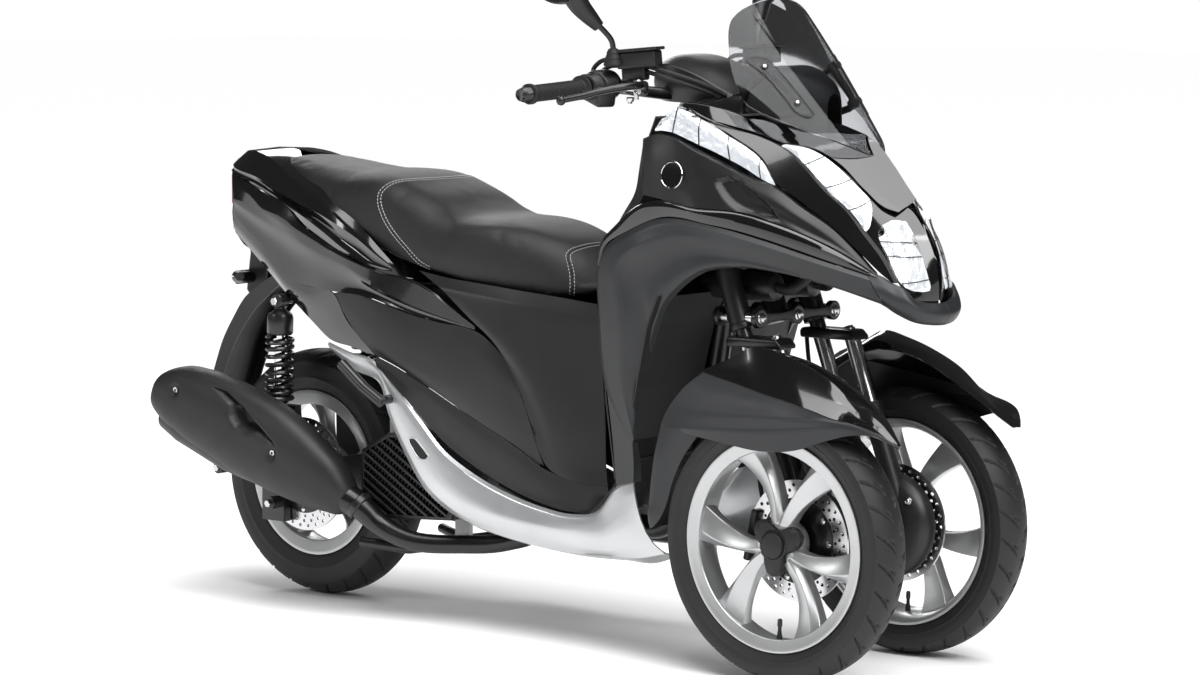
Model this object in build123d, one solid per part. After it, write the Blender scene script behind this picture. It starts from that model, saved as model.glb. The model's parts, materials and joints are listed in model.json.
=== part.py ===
"""A leaning scooter with two wheels in front and one behind, a reverse trike.

Millimetres, +X forwards, +Y to the rider's left, +Z up. The pieces are laid out from the point on the
floor below the rear axle, and each is moved by ORIGIN_X when it is written, so that the origin is on the
floor below the middle of the machine.
"""
from build123d import *
from math import cos, hypot, pi, radians, sin, tan
import os

# ---- driving dimensions ---------------------------------------------------------------------------
WHEELBASE = 1310
TRACK = 385                    # between the two front wheels
ORIGIN_X = 615                 # the middle of the length, ahead of the rear axle
RAKE = 20                      # lean of the steering axes, degrees
STEER_FOOT_X = 1378            # where the steering axes meet the floor
FORK_Y = 112                   # each front wheel's steering axis, either side of the middle
FORK_SPACING = 72              # from the rear leg of a fork to its front leg
AXLE_R = 10
RUNNING_GAP = 0.3              # between a bearing and what turns in it
PANEL = 4                      # thickness of the body panels

# each tyre: radius, width, rim radius, half width at the bead, axle height
FRONT_TYRE = dict(radius=250, width=92, rim=186, bead=33, axle_z=250)
REAR_TYRE = dict(radius=251, width=110, rim=161, bead=40, axle_z=251)
FRONT_DISC_R = 110
REAR_DISC_R = 115
DISC_T = 4
FRONT_DISC_Y = 42              # disc's middle plane, inboard of the wheel's
REAR_DISC_Y = -67

# the joints' axes
SEAT_HINGE = (800, 646)        # x, z
CENTRE_STAND_PIVOT = (420, 150)
SIDE_STAND_PIVOT = (650, 172, 168)


def steer_x(z):
    """The steering axes' x at a height."""
    return STEER_FOOT_X - z * tan(radians(RAKE))


# ---- ways of making shapes --------------------------------------------------------------------------
def side_plate(outline, y_low, y_high):
    """A plate with a side-view outline of (x, z), between two widths."""
    face = make_face(Polyline(*outline, close=True))
    return extrude(Plane.XZ.offset(-y_high) * face, y_high - y_low, dir=(0, -1, 0))


def rod(start, end, radius, bore=0):
    """A round bar or tube between two points."""
    along = Vector(*end) - Vector(*start)
    plane = Plane(origin=start, z_dir=along)
    bar = Solid.make_cylinder(radius, along.length, plane)
    if bore:
        bar -= Solid.make_cylinder(bore, along.length, plane)
    return bar


def cross_rod(x, z, y_low, y_high, radius, bore=0):
    """A round bar or tube across the machine."""
    return rod((x, y_low, z), (x, y_high, z), radius, bore)


def pipe(points, radius, bend):
    """A bent round bar: straight runs joined by tangent arcs, of one radius or a radius for each corner."""
    path = FilletPolyline(*points, radius=bend)
    return sweep(Plane(origin=path @ 0, z_dir=path % 0) * Circle(radius), path=path)


def block(x, y, z):
    """A box from its (low, high) reach along each axis."""
    size = [high - low for low, high in (x, y, z)]
    middle = [(high + low) / 2 for low, high in (x, y, z)]
    return Pos(*middle) * Box(*size)


def turned(profile, x, y, z):
    """A closed profile of (radius, y) points turned about an axle along Y."""
    return Pos(x, y, z) * revolve(make_face(Polyline(*profile, close=True)), Axis.Y)


def both_sides(shape):
    """A right-hand piece and its mirror image."""
    return [shape, mirror(shape, Plane.XZ)]


def solids_of(*shapes):
    """All the solids in some shapes and lists of shapes, as one flat list."""
    found = []
    for shape in shapes:
        found += solids_of(*shape) if isinstance(shape, (list, tuple)) else list(shape.solids())
    return found


nodes = {}


def node(name, *shapes):
    """Names a sub-part. Its solids that meet are joined, and the rest stay as separate solids."""
    parts = solids_of(*shapes)
    joined = parts[0]
    if len(parts) > 1:
        joined = parts[0].fuse(*parts[1:])
    nodes[name] = Compound(joined.solids())


# ---- body panels: a wall through a few level contours, cut to side-view outlines --------------------------
# front body: height, then (x, half width) from the rear edge to the nose
FRONT_LEVELS = {
    330: [(895, 180), (1000, 205), (1130, 215), (1290, 185), (1420, 125), (1485, 70), (1500, 0)],
    480: [(893, 198), (1000, 230), (1130, 235), (1290, 190), (1420, 128), (1487, 72), (1502, 0)],
    640: [(890, 208), (1000, 240), (1130, 238), (1290, 192), (1420, 132), (1488, 74), (1505, 0)],
    700: [(888, 210), (1000, 241), (1130, 236), (1290, 188), (1420, 130), (1490, 72), (1512, 0)],
    760: [(895, 208), (1000, 238), (1130, 230), (1280, 182), (1405, 123), (1475, 66), (1505, 0)],
    830: [(972, 216), (1005, 225), (1130, 215), (1260, 172), (1375, 110), (1440, 56), (1476, 0)],
    900: [(994, 206), (1020, 212), (1120, 198), (1235, 155), (1330, 98), (1375, 50), (1402, 0)],
    960: [(990, 200), (1050, 205), (1110, 190), (1190, 148), (1260, 96), (1295, 50), (1315, 0)],
    1020: [(1015, 195), (1050, 195), (1090, 180), (1130, 142), (1175, 95), (1200, 50), (1215, 0)],
}
# rear body: stations along x, then the half width at each of them, by height
REAR_X = [-260, -150, 0, 150, 300, 450, 600, 750, 850, 1010]
REAR_LEVELS = {
    160: [60, 78, 95, 120, 135, 150, 158, 170, 182, 205],
    280: [60, 80, 100, 130, 150, 166, 171, 174, 184, 206],
    400: [60, 80, 105, 135, 160, 172, 172, 150, 118, 108],
    530: [60, 82, 112, 142, 168, 178, 172, 142, 110, 105],
    640: [62, 86, 120, 150, 172, 178, 165, 130, 98, 95],
    720: [66, 95, 130, 156, 170, 170, 155, 118, 88, 85],
    800: [75, 108, 138, 158, 165, 160, 140, 105, 80, 78],
    910: [68, 96, 120, 136, 140, 136, 116, 90, 66, 64],
}


def inset(line, depth):
    """An open line of points, moved to its left by a depth."""
    moved = []
    for k, point in enumerate(line):
        here = Vector(*point)
        run_in = (here - Vector(*line[k - 1])).normalized() if k else None
        run_out = (Vector(*line[k + 1]) - here).normalized() if k + 1 < len(line) else None
        run_in, run_out = run_in or run_out, run_out or run_in
        middle = (run_in + run_out).normalized()
        reach = depth / max(run_in.dot(middle), 0.5)
        moved.append((here.X - middle.Y * reach, here.Y + middle.X * reach))
    return moved


def front_line(half):
    """From the right rear edge round the nose to the left rear edge."""
    right = [(x, -w) for x, w in half]
    left = [(x, w) for x, w in reversed(half[:-1])]
    return right + left


def level_loft(outlines):
    """A straight-sided loft through closed plan-view outlines by height."""
    faces = [Plane.XY.offset(z) * make_face(Polyline(*outlines[z], close=True)) for z in sorted(outlines)]
    return loft(faces, ruled=True)


def front_wall(outside, thickness):
    """The front body's skin, between two depths below its surface."""
    bands = {}
    for z, half in FRONT_LEVELS.items():
        line = front_line(half)
        bands[z] = inset(line, outside) + inset(line, outside + thickness)[::-1]
    return level_loft(bands)


def front_core(depth):
    """All that lies inside the front body, from a depth below its surface."""
    return level_loft({z: inset(front_line(half), depth) for z, half in FRONT_LEVELS.items()})


def rear_wall(outside, thickness):
    """The rear body's right-hand skin, between two depths below its surface."""
    bands = {}
    for z, widths in REAR_LEVELS.items():
        outer = [(x, -w + outside) for x, w in zip(REAR_X, widths)]
        inner = [(x, -w + outside + thickness) for x, w in zip(REAR_X, widths)]
        bands[z] = outer + inner[::-1]
    return level_loft(bands)


REACH = 420                    # wider than the whole machine, for cutting through it
FRONT_SKIN = front_wall(0, PANEL)
FRONT_CORE = front_core(PANEL + 0.5)
REAR_SKIN = rear_wall(0, PANEL)


def front_panel(outline, *cuts):
    """The part of the front skin inside a side-view outline."""
    panel = FRONT_SKIN & side_plate(outline, -REACH, REACH)
    for cut in cuts:
        panel -= side_plate(cut, -REACH, REACH)
    return panel


def rear_panels(outline, *cuts):
    """The right and left parts of the rear skin inside a side-view outline."""
    panel = REAR_SKIN & side_plate(outline, -REACH, 0)
    for cut in cuts:
        panel -= side_plate(cut, -REACH, 0)
    return both_sides(panel)


def lining(line, thickness):
    """A panel between the front body's two sides, from a side-view line of (x, z)."""
    back = []
    for k, (x, z) in enumerate(line):
        a = line[max(k - 1, 0)]
        b = line[min(k + 1, len(line) - 1)]
        length = hypot(b[0] - a[0], b[1] - a[1])
        back.append((x + (b[1] - a[1]) / length * thickness, z - (b[0] - a[0]) / length * thickness))
    return FRONT_CORE & side_plate(list(line) + back[::-1], -REACH, REACH)


# side-view outlines of the front body, as (x, z)
SHIELD_TOP = [(896, 765), (961, 824), (1033, 852), (1130, 843), (1245, 804), (1369, 754), (1431, 728)]
ARCH = [(969, 403), (1009, 507), (1040, 619), (1065, 675), (1104, 717), (1144, 740), (1198, 749),
        (1253, 740), (1324, 716), (1409, 688), (1457, 674)]
SHIELD_REAR = [(919, 458), (900, 571), (894, 664)]
NOSE_TRIM = [(1431, 728), (1467, 714), (1487, 690), (1540, 690), (1540, 640), (1503, 642), (1486, 653),
             (1457, 674)]
HEADLAMP = [(1427, 822), (1441, 827), (1461, 817), (1540, 800), (1540, 690), (1487, 690), (1467, 746),
            (1445, 778)]
POSITION_LAMP = [(1235, 954), (1269, 950), (1310, 932), (1370, 892), (1408, 849), (1412, 806),
                 (1387, 829), (1323, 885), (1279, 913), (1242, 947)]
TURN_LAMP = [(1019, 985), (1063, 1018), (1077, 1018), (1112, 999), (1190, 952), (1219, 928), (1254, 885),
             (1201, 907), (1052, 974)]
SIDE_COWL = [(990, 966), (1015, 973), (1052, 974), (1201, 907), (1254, 885), (1313, 840), (1376, 769),
             (1279, 817), (1128, 848), (1081, 857), (1019, 859), (985, 900)]
COWL = [(896, 765)] + SHIELD_TOP[1:] + [(1467, 714), (1487, 690), (1540, 690), (1540, 1020), (880, 1020),
                                        (880, 765)]
INNER_SHIELD = [(905, 300), (896, 470), (893, 640), (892, 700), (899, 760), (977, 830), (999, 900),
                (996, 960), (1012, 1004), (1210, 1012)]
COLUMN_R = 16


def build_front_body():
    node("headlamp", front_panel(HEADLAMP))
    node("position_lamps", front_panel(POSITION_LAMP))
    node("turn_lamps", front_panel(TURN_LAMP))
    node("side_cowls", front_panel(SIDE_COWL))
    node("nose_trim", front_panel(NOSE_TRIM))
    node("front_cowl", front_panel(COWL, HEADLAMP, POSITION_LAMP, TURN_LAMP, SIDE_COWL))
    shield = ARCH + [(1431, 728)] + SHIELD_TOP[::-1][1:] + SHIELD_REAR[::-1]
    node("leg_shield", front_panel(shield))
    column_hole = rod((steer_x(940), 0, 940), (steer_x(1040), 0, 1040), COLUMN_R + 10)
    node("inner_shield", lining(INNER_SHIELD[::-1], -PANEL) - column_hole)
    arch_line = [(x - 12, z + 4) for x, z in ARCH[:4]]
    spine_slot = block((900, 1200), (-34, 34), (300, 800))
    node("wheel_house", lining(arch_line, -PANEL) - spine_slot)


# ---- windscreen ------------------------------------------------------------------------------------------
# height, x at the middle, x at the side, half width
SCREEN_LEVELS = [(925, 1384, 1258, 142), (1010, 1318, 1205, 150), (1100, 1244, 1160, 165),
                 (1204, 1158, 1124, 92), (1222, 1143, 1120, 60)]
SCREEN_OUTLINE = [(1392, 928), (1290, 948), (1205, 1010), (1160, 1100), (1127, 1204), (1138, 1214),
                  (1156, 1212), (1270, 1110), (1400, 980)]
SCREEN_ACROSS = [1, 0.8, 0.55, 0.28]


def build_windscreen():
    bands = {}
    for z, middle_x, side_x, width in SCREEN_LEVELS:
        half = [(middle_x - (middle_x - side_x) * u * u, width * u) for u in SCREEN_ACROSS + [0]]
        line = front_line(half)
        bands[z] = inset(line, 0) + inset(line, PANEL)[::-1]
    screen = level_loft(bands) & side_plate(SCREEN_OUTLINE, -REACH, REACH)
    node("windscreen", screen - front_core(-6))
    bracket = [(1100, 1013), (1168, 1013), (1222, 1062), (1190, 1110), (1176, 1104), (1200, 1062), (1150, 1030)]
    mounts = side_plate(bracket, 62, 70) - nodes["windscreen"]
    node("screen_mount", both_sides(mounts))


# ---- rear body -------------------------------------------------------------------------------------------
TAIL = [(-182, 865), (-168, 780), (-166, 722), (-87, 678), (26, 617), (135, 545), (288, 521), (173, 633),
        (230, 640), (559, 583), (473, 657), (386, 687), (337, 694), (232, 710), (73, 754), (28, 790),
        (-170, 860)]
GRAB_RAIL = [(-182, 865), (-170, 860), (28, 790), (73, 754), (232, 710), (337, 694), (223, 762),
             (100, 823), (-118, 868), (-190, 895), (-205, 870)]
SIDE_COVER = [(288, 521), (299, 511), (482, 445), (699, 349), (827, 315), (838, 420), (812, 640),
              (737, 651), (509, 674), (473, 657), (559, 583), (230, 640), (173, 633)]
TRIM_TOP = [(291, 502), (330, 468), (355, 445), (404, 398), (472, 339), (532, 307), (583, 283), (673, 264),
            (779, 252), (839, 255), (877, 276)]
SIDE_TRIM = [(143, 522), (219, 487), (298, 464), (320, 450), (322, 408), (366, 330), (424, 262),
             (487, 222), (583, 198), (672, 186), (779, 180), (885, 184), (981, 191), (1036, 205),
             (1008, 244), (984, 277), (965, 308), (963, 331), (920, 318)] + TRIM_TOP[::-1] + [
             (205, 517), (140, 531)]
FLOOR_SIDE = TRIM_TOP + [(888, 306), (827, 315), (699, 349), (482, 445), (299, 511)]
FLOOR_Z = 250
FLOOR_X = (640, 860)
FLOOR_HALF_Y = 106


def build_rear_body():
    node("tail_cowl", rear_panels(TAIL))
    node("grab_rail", rear_panels(GRAB_RAIL), block((-206, -176), (-86, 86), (862, 888)))
    node("side_covers", rear_panels(SIDE_COVER))
    node("side_trims", rear_panels(SIDE_TRIM))
    floor = block(FLOOR_X, (-FLOOR_HALF_Y, FLOOR_HALF_Y), (FLOOR_Z, FLOOR_Z + 8))
    node("footboard", rear_panels(FLOOR_SIDE), floor)
    node("tail_lamp", block((-204, -182), (-58, 58), (800, 862)))


# ---- seat and what is under it ---------------------------------------------------------------------------
# station x, half width, height of the underside, height of the top
SEAT_STATIONS = [(-110, 96, 874, 892), (60, 132, 800, 886), (210, 148, 745, 872), (330, 156, 712, 836),
                 (440, 160, 694, 796), (560, 148, 682, 786), (670, 122, 670, 770), (745, 96, 662, 735),
                 (785, 74, 658, 690)]
STORAGE = dict(x=(310, 700), y=(-100, 100), z=(455, 662), wall=3, rim=18)
HINGE_PIN_R = 5


def build_seat():
    faces = []
    for x, half, low, high in SEAT_STATIONS:
        edge = high - min(34, (high - low) * 0.5)
        section = [(-half, low), (half, low), (half, edge), (half - 30, high - 6), (0, high),
                   (-half + 30, high - 6), (-half, edge)]
        faces.append(Plane.YZ.offset(x) * make_face(Polyline(*section, close=True)))
    hinge_x, hinge_z = SEAT_HINGE
    lug = side_plate([(768, 663), (784, 663), (806, 650), (806, hinge_z - 5), (796, hinge_z - 5)], 24, 32)
    node("seat", loft(faces, ruled=True), both_sides(lug), cross_rod(hinge_x, hinge_z, -48, 48, HINGE_PIN_R))
    s = STORAGE
    wall = s["wall"]
    ear = block((s["x"][1] - wall, hinge_x + 8), (36, 44), (hinge_z - 8, hinge_z + 6))
    ear -= cross_rod(hinge_x, hinge_z, 0, 60, HINGE_PIN_R + RUNNING_GAP)
    inside = [(low + wall, high - wall) for low, high in (s["x"], s["y"])]
    pocket = block(inside[0], inside[1], (s["z"][0] + wall, s["z"][1] + 1))
    rim_y = (s["y"][0] - s["rim"], s["y"][1] + s["rim"])
    rim = block(s["x"], rim_y, (s["z"][1] - wall, s["z"][1]))
    node("storage_box", block(s["x"], s["y"], s["z"]).fuse(rim) - pocket, both_sides(ear))


# ---- frame, engine and rear end --------------------------------------------------------------------------
SHOCK_Y = 126
SHOCK_FOOT = (-14, 376)        # x, z of the lower eye
SHOCK_TOP = (-6, 606)


def build_frame():
    """Steering head, spine, two seat rails and the post that carries the front suspension's arms."""
    head = rod((steer_x(800), 0, 800), (steer_x(950), 0, 950), COLUMN_R + 10)
    spine = pipe([(steer_x(830) - 24, 0, 830), (1010, 0, 560), (965, 0, 320), (880, 0, 215), (700, 0, 215)],
                 22, 60)
    nose = rod((steer_x(800), 0, 800), (steer_x(625), 0, 625), 22)
    parts = [head, spine, nose, cross_rod(660, 190, -66, 66, 12), cross_rod(-40, 753, -70, 70, 11)]
    for side in (-1, 1):
        parts.append(pipe([(740, side * 10, 215), (660, side * 66, 192), (565, side * 90, 205),
                           (600, side * 119, 420), (330, side * 134, 640), (-60, side * 66, 760)], 13, 40))
        parts.append(rod((SHOCK_TOP[0], side * 78, 742), (SHOCK_TOP[0], side * 102, SHOCK_TOP[1]), 9))
        parts.append(cross_rod(*SHOCK_TOP, *sorted((side * 96, side * (SHOCK_Y - 14))), 8))
    stand_x, stand_y, stand_z = SIDE_STAND_PIVOT
    parts.append(rod((stand_x, 66, 190), (stand_x, stand_y - 20, stand_z), 10))
    parts.append(cross_rod(stand_x, stand_z, stand_y - 24, stand_y - 12, 10))
    bearing = rod((steer_x(790), 0, 790), (steer_x(1030), 0, 1030), COLUMN_R + RUNNING_GAP)
    node("frame", parts[0].fuse(*parts[1:]) - bearing)


def build_engine():
    block_y = (-95, 58)
    stand_x, stand_z = CENTRE_STAND_PIVOT
    lugs = [block((stand_x - 18, stand_x + 18), (y, y + 12), (stand_z - 18, 206)) for y in (-60, 40)]
    pivot = cross_rod(stand_x, stand_z, -REACH, REACH, 11 + RUNNING_GAP)
    node("engine", block((262, 520), block_y, (205, 400)), [lug - pivot for lug in lugs])
    case = [(-70, 215), (-45, 296), (-34, 296), (-34, 392), (4, 392), (14, 310), (60, 335), (350, 392),
            (470, 372), (520, 290), (480, 195), (300, 165), (20, 188)]
    hole = cross_rod(0, REAR_TYRE["axle_z"], -REACH, REACH, AXLE_R + RUNNING_GAP)
    foot_pin = cross_rod(*SHOCK_FOOT, 100, SHOCK_Y - 14, 8)
    horn = block((-60, 30), (100, 160), (330, 420))
    node("belt_case", side_plate(case, 62, 142) - hole - horn, foot_pin)
    cover = [(236, 330), (306, 368), (338, 370), (478, 226), (470, 205), (228, 190), (228, 220)]
    node("radiator_cover", side_plate(cover, -150, -96))
    arm = [(-42, 225), (-42, 280), (-32, 392), (2, 392), (12, 286), (60, 290), (262, 320), (262, 215),
           (60, 222)]
    pin = cross_rod(*SHOCK_FOOT, -SHOCK_Y + 14, -90, 8)
    axle = cross_rod(0, REAR_TYRE["axle_z"], -112, 100, AXLE_R)
    groove = cross_rod(0, REAR_TYRE["axle_z"], REAR_DISC_Y - 5, REAR_DISC_Y + 5, REAR_DISC_R + 5)
    caliper = block((-96, -36), (-92, -59), (152, 240)) - groove
    hanger = block((60, 90), (-165, -90), (255, 275)) - nodes["exhaust"]
    node("rear_arm", side_plate(arm, -96, -78), axle, caliper, pin, max(hanger.solids(), key=lambda h: h.center().Y))


# muffler: middle x, z and y, half height, half thickness
MUFFLER = [(-262, 392, -205, 32, 34), (-235, 400, -208, 58, 46), (-120, 375, -205, 76, 52),
           (20, 325, -196, 84, 52), (130, 290, -186, 78, 46), (215, 262, -178, 44, 36)]


def build_exhaust():
    faces = []
    for x, z, y, half_h, half_t in MUFFLER:
        ring = [(y + half_t * cos(a * pi / 6), z + half_h * sin(a * pi / 6)) for a in range(12)]
        faces.append(Plane.YZ.offset(x) * make_face(Polyline(*ring, close=True)))
    body = loft(faces, ruled=True)
    front = pipe([(200, -178, 250), (300, -172, 168), (440, -150, 160), (480, -60, 160), (480, -60, 205)],
                 16, (36, 30, 18))
    node("exhaust", body, front)


def build_rear_shocks():
    parts = []
    (x0, z0), (x1, z1) = SHOCK_FOOT, SHOCK_TOP
    for y in (-SHOCK_Y, SHOCK_Y):
        for x, z in (SHOCK_FOOT, SHOCK_TOP):
            parts.append(cross_rod(x, z, y - 13.5, y + 13.5, 13))
        parts.append(rod((x0, y, z0), (x1, y, z1), 12))
        parts.append(rod((x0 + 1, y, z0 + 36), (x1 - 1, y, z1 - 36), 28))
    node("rear_shocks", parts)


PLATE_BOLTS = (60, 640)        # each bolt's distance from the middle, and its height
PLATE_BOLT_R = 3.3
PLATE_BAR_X = (-190, -182)


def build_rear_fender():
    outer = [(-96, 640), (-170, 600), (-236, 510), (-270, 420), (-330, 318)]
    inner = [(-322, 322), (-262, 424), (-228, 506), (-165, 592), (-96, 630)]
    guard = side_plate(outer + inner, -62, 62)
    bolt_y, bolt_z = PLATE_BOLTS
    bar = block(PLATE_BAR_X, (-72, 72), (bolt_z - 16, bolt_z + 16))
    for y in (-bolt_y, bolt_y):
        bar -= rod((-200, y, bolt_z), (-170, y, bolt_z), PLATE_BOLT_R)
    holder = side_plate([(-190, 624), (-178, 590), (-140, 610), (-140, 790), (-182, 800), (-200, 800),
                         (-186, 656), (-190, 656)], -40, 40)
    node("rear_fender", guard, bar, holder)


# ---- wheels ----------------------------------------------------------------------------------------------
# half a tyre's section, outer side and hollow: share of the half width, share of the height above the rim
TREAD_SECTION = [(1, 0.56), (0.92, 0.76), (0.64, 0.93), (0.26, 1)]
WALL_SECTION = [(1.02, 0.5), (0.96, 0.3)]
TYRE_SIDES = 40                # flat facets round a tyre, one of them on the floor
RIM_LIP = 7                    # height of the lips that hold the tyre's beads


def facet_loft(x, y, z, rings):
    """A loft of many-sided rings about an axle, from (distance along it, radius to the flats)."""
    faces = []
    for along, radius in rings:
        plane = Plane(origin=(x, y + along, z), x_dir=(1, 0, 0), z_dir=(0, 1, 0))
        ring = RegularPolygon(radius, TYRE_SIDES, major_radius=False, rotation=180 / TYRE_SIDES)
        faces.append(plane * ring)
    return loft(faces, ruled=True)


def tyre(size, x, y):
    """A tyre: facets lofted along the axle, less the hollows of its walls and the rim's seat."""
    r, w, rim, bead = size["radius"], size["width"] / 2, size["rim"], size["bead"]
    z = size["axle_z"]
    tread = [(w * out, rim + (r - rim) * up) for out, up in TREAD_SECTION]
    whole = facet_loft(x, y, z, [(-out, radius) for out, radius in tread] + tread[::-1])
    wall = [(w * out, rim + (r - rim) * up) for out, up in WALL_SECTION] + [(bead, rim + RIM_LIP + 1)]
    for side in (-1, 1):
        whole -= facet_loft(x, y, z, [(side * out, radius) for out, radius in wall])
    return whole - facet_loft(x, y, z, [(-bead - 1, rim), (bead + 1, rim)])


def rim(size, x, y, spokes):
    """A cast rim: barrel with two lips, hub and flat spokes, from a table of spoke angles."""
    r, bead = size["rim"], size["bead"]
    top, edge = r + RIM_LIP, bead + RIM_LIP - 2
    barrel = turned([(top, -edge), (top, -bead), (r, -bead), (r, bead), (top, bead), (top, edge), (r - 8, edge),
                     (r - 12, bead - 8), (r - 12, -bead + 8), (r - 8, -edge)], x, y, size["axle_z"])
    hub = cross_rod(x, size["axle_z"], y - 30, y + 30, 38)
    parts = [barrel, hub]
    for root_angle, tip_angle in spokes:
        faces = []
        for radius, angle, half, deep in ((30, root_angle, 13, 22), (r - 10, tip_angle, 17, 17)):
            a = radians(angle)
            centre = (x + radius * cos(a), y, size["axle_z"] + radius * sin(a))
            plane = Plane(origin=centre, x_dir=(0, 1, 0), z_dir=(cos(a), 0, sin(a)))
            faces.append(plane * Rectangle(2 * deep, 2 * half))
        parts.append(loft(faces, ruled=True))
    whole = parts[0].fuse(*parts[1:])
    return whole - cross_rod(x, size["axle_z"], y - 60, y + 60, AXLE_R + RUNNING_GAP)


def disc(radius, x, y, z, hub_from):
    """A brake disc with its carrier, which reaches back to the wheel's hub."""
    plate = cross_rod(x, z, y - DISC_T / 2, y + DISC_T / 2, radius)
    low, high = sorted((y, hub_from))
    return plate.fuse(cross_rod(x, z, low, high, 34)) - cross_rod(x, z, y - 90, y + 90, AXLE_R + RUNNING_GAP)


PAIR_ANGLES = (82, 202, 322)       # middles of the front wheels' three pairs of spokes
PAIR_HALF = (14, 29)               # half a pair's spread at the hub and at the rim
REAR_SPOKES = [(90 + 72 * k, 90 + 72 * k) for k in range(5)]


def front_spokes():
    spokes = []
    for middle in PAIR_ANGLES:
        for side in (-1, 1):
            spokes.append((middle + side * PAIR_HALF[0], middle + side * PAIR_HALF[1]))
    return spokes


def build_wheels():
    node("rear_tyre", tyre(REAR_TYRE, 0, 0))
    node("rear_rim", rim(REAR_TYRE, 0, 0, REAR_SPOKES))
    node("rear_disc", disc(REAR_DISC_R, 0, REAR_DISC_Y, REAR_TYRE["axle_z"], -30))
    for name, side in (("left", 1), ("right", -1)):
        y = side * TRACK / 2
        inner = side * (TRACK / 2 - FRONT_DISC_Y)
        node(f"front_tyre_{name}", tyre(FRONT_TYRE, WHEELBASE, y))
        node(f"front_rim_{name}", rim(FRONT_TYRE, WHEELBASE, y, front_spokes()))
        node(f"front_disc_{name}",
             disc(FRONT_DISC_R, WHEELBASE, inner, FRONT_TYRE["axle_z"], y - side * 30))


# ---- front suspension ------------------------------------------------------------------------------------
ARM_Z = (640, 745)             # the lower and the upper arms
ARM_X = 44                     # the front and the rear beam of an arm, either side of the steering axis
POST_Z = (618, 770)            # reach of the two bearing posts


def build_arms():
    arms = []
    for z in ARM_Z:
        x = steer_x(z)
        for dx in (-ARM_X, ARM_X):
            for y in (-FORK_Y, 0, FORK_Y):
                arms.append(rod((x + dx - 6, y, z), (x + dx + 6, y, z), 19))
            arms.append(block((x + dx - 6, x + dx + 6), (-FORK_Y, FORK_Y), (z - 12, z + 12)))
        arms.append(rod((x - ARM_X - 10, 0, z), (x + ARM_X + 10, 0, z), 9))
    frame_nose = nodes["frame"]
    node("tilt_arms", [solid - frame_nose for solid in solids_of(*arms)])


def build_posts():
    posts = []
    for side in (-1, 1):
        y = side * FORK_Y
        post = rod((steer_x(POST_Z[0]), y, POST_Z[0]), (steer_x(POST_Z[1]), y, POST_Z[1]), 24,
                   15 + RUNNING_GAP)
        posts.append(post)
        for z in ARM_Z:
            for low, high in ((-ARM_X + 6.5, -22), (22, ARM_X - 6.5)):
                posts.append(rod((steer_x(z) + low, y, z), (steer_x(z) + high, y, z), 12))
    node("bearing_posts", posts)


def build_forks():
    for name, side in (("left", 1), ("right", -1)):
        y = side * FORK_Y
        top, foot = 600, 250
        stem = rod((steer_x(590), y, 590), (steer_x(780), y, 780), 15)
        crown = side_plate([(steer_x(top) - 28, top - 14), (steer_x(top) - 30, top + 8),
                            (steer_x(top) + FORK_SPACING + 14, top + 8),
                            (steer_x(top) + FORK_SPACING + 26, top - 14)], *sorted((y - 26, y + 26)))
        parts = [stem, crown]
        for lead in (0, FORK_SPACING):
            parts.append(rod((steer_x(595) + lead, y, 595), (steer_x(foot - 35) + lead, y, foot - 35), 15))
            parts.append(rod((steer_x(470) + lead, y, 470), (steer_x(foot - 45) + lead, y, foot - 45), 19.5))
        bridge_x = steer_x(foot)
        parts.append(side_plate([(bridge_x - 16, 225), (bridge_x - 10, 275), (bridge_x + 80, 280),
                                 (bridge_x + 84, 225)], *sorted((y - 17, y + 17))))
        axle_end = side * (TRACK / 2 + 34)
        parts.append(cross_rod(WHEELBASE, FRONT_TYRE["axle_z"], *sorted((y, axle_end)), AXLE_R))
        cap = side * (TRACK / 2 + 31)
        parts.append(cross_rod(WHEELBASE, FRONT_TYRE["axle_z"], *sorted((cap, cap + side * 8)), 16))
        disc_y = side * (TRACK / 2 - FRONT_DISC_Y)
        slot = cross_rod(WHEELBASE, FRONT_TYRE["axle_z"], disc_y - 5, disc_y + 5, FRONT_DISC_R + 5)
        caliper = block((1192, 1252), sorted((disc_y - 24 * side, disc_y + 14 * side)), (200, 305)) - slot
        lug = block((1240, 1262), sorted((y, disc_y - 8 * side)), (225, 285))
        stay = block((1196, 1222), sorted((y, side * 143.8)), (532, 546))
        node(f"fork_{name}", parts, caliper, lug, stay)


# fender: station x, heights of its inner edge, crown and outer edge, then their distances from the middle
FENDER = [(1092, 500, 524, 452, 160, 196, 240), (1160, 520, 566, 432, 148, 196, 250),
          (1276, 540, 604, 424, 140, 196, 254), (1371, 520, 585, 432, 140, 196, 252),
          (1450, 470, 545, 445, 146, 194, 240), (1510, 452, 508, 450, 152, 188, 222),
          (1556, 446, 474, 450, 160, 180, 200)]
FENDER_T = 3.2
FLAP = [(1104, 526), (1066, 448), (1048, 380), (1040, 262), (1036, 262), (1043, 380), (1060, 450),
        (1092, 522)]


def fender_section(station):
    """The fender's hollow section across the wheel, at one station."""
    x, z_in, z_top, z_out, y_in, y_top, y_out = station
    line = [(y_in, z_in), (y_in + 4, z_in + (z_top - z_in) * 0.6), (y_top, z_top),
            (y_out - 6, z_out + (z_top - z_out) * 0.6), (y_out, z_out)]
    return Plane.YZ.offset(x) * make_face(Polyline(*line, *inset(line, -FENDER_T)[::-1], close=True))


def build_fenders():
    left = loft([fender_section(station) for station in FENDER], ruled=True)
    left = left.fuse(side_plate(FLAP, 170, 236))
    node("fender_left", left)
    node("fender_right", mirror(left, Plane.XZ))


# ---- handlebar -------------------------------------------------------------------------------------------
BAR = [(steer_x(1024) + 2, 0, 1026), (960, 110, 1042), (900, 215, 1058), (839, 367, 1043)]
BAR_R = 11
GRIP_R = 17


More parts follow.
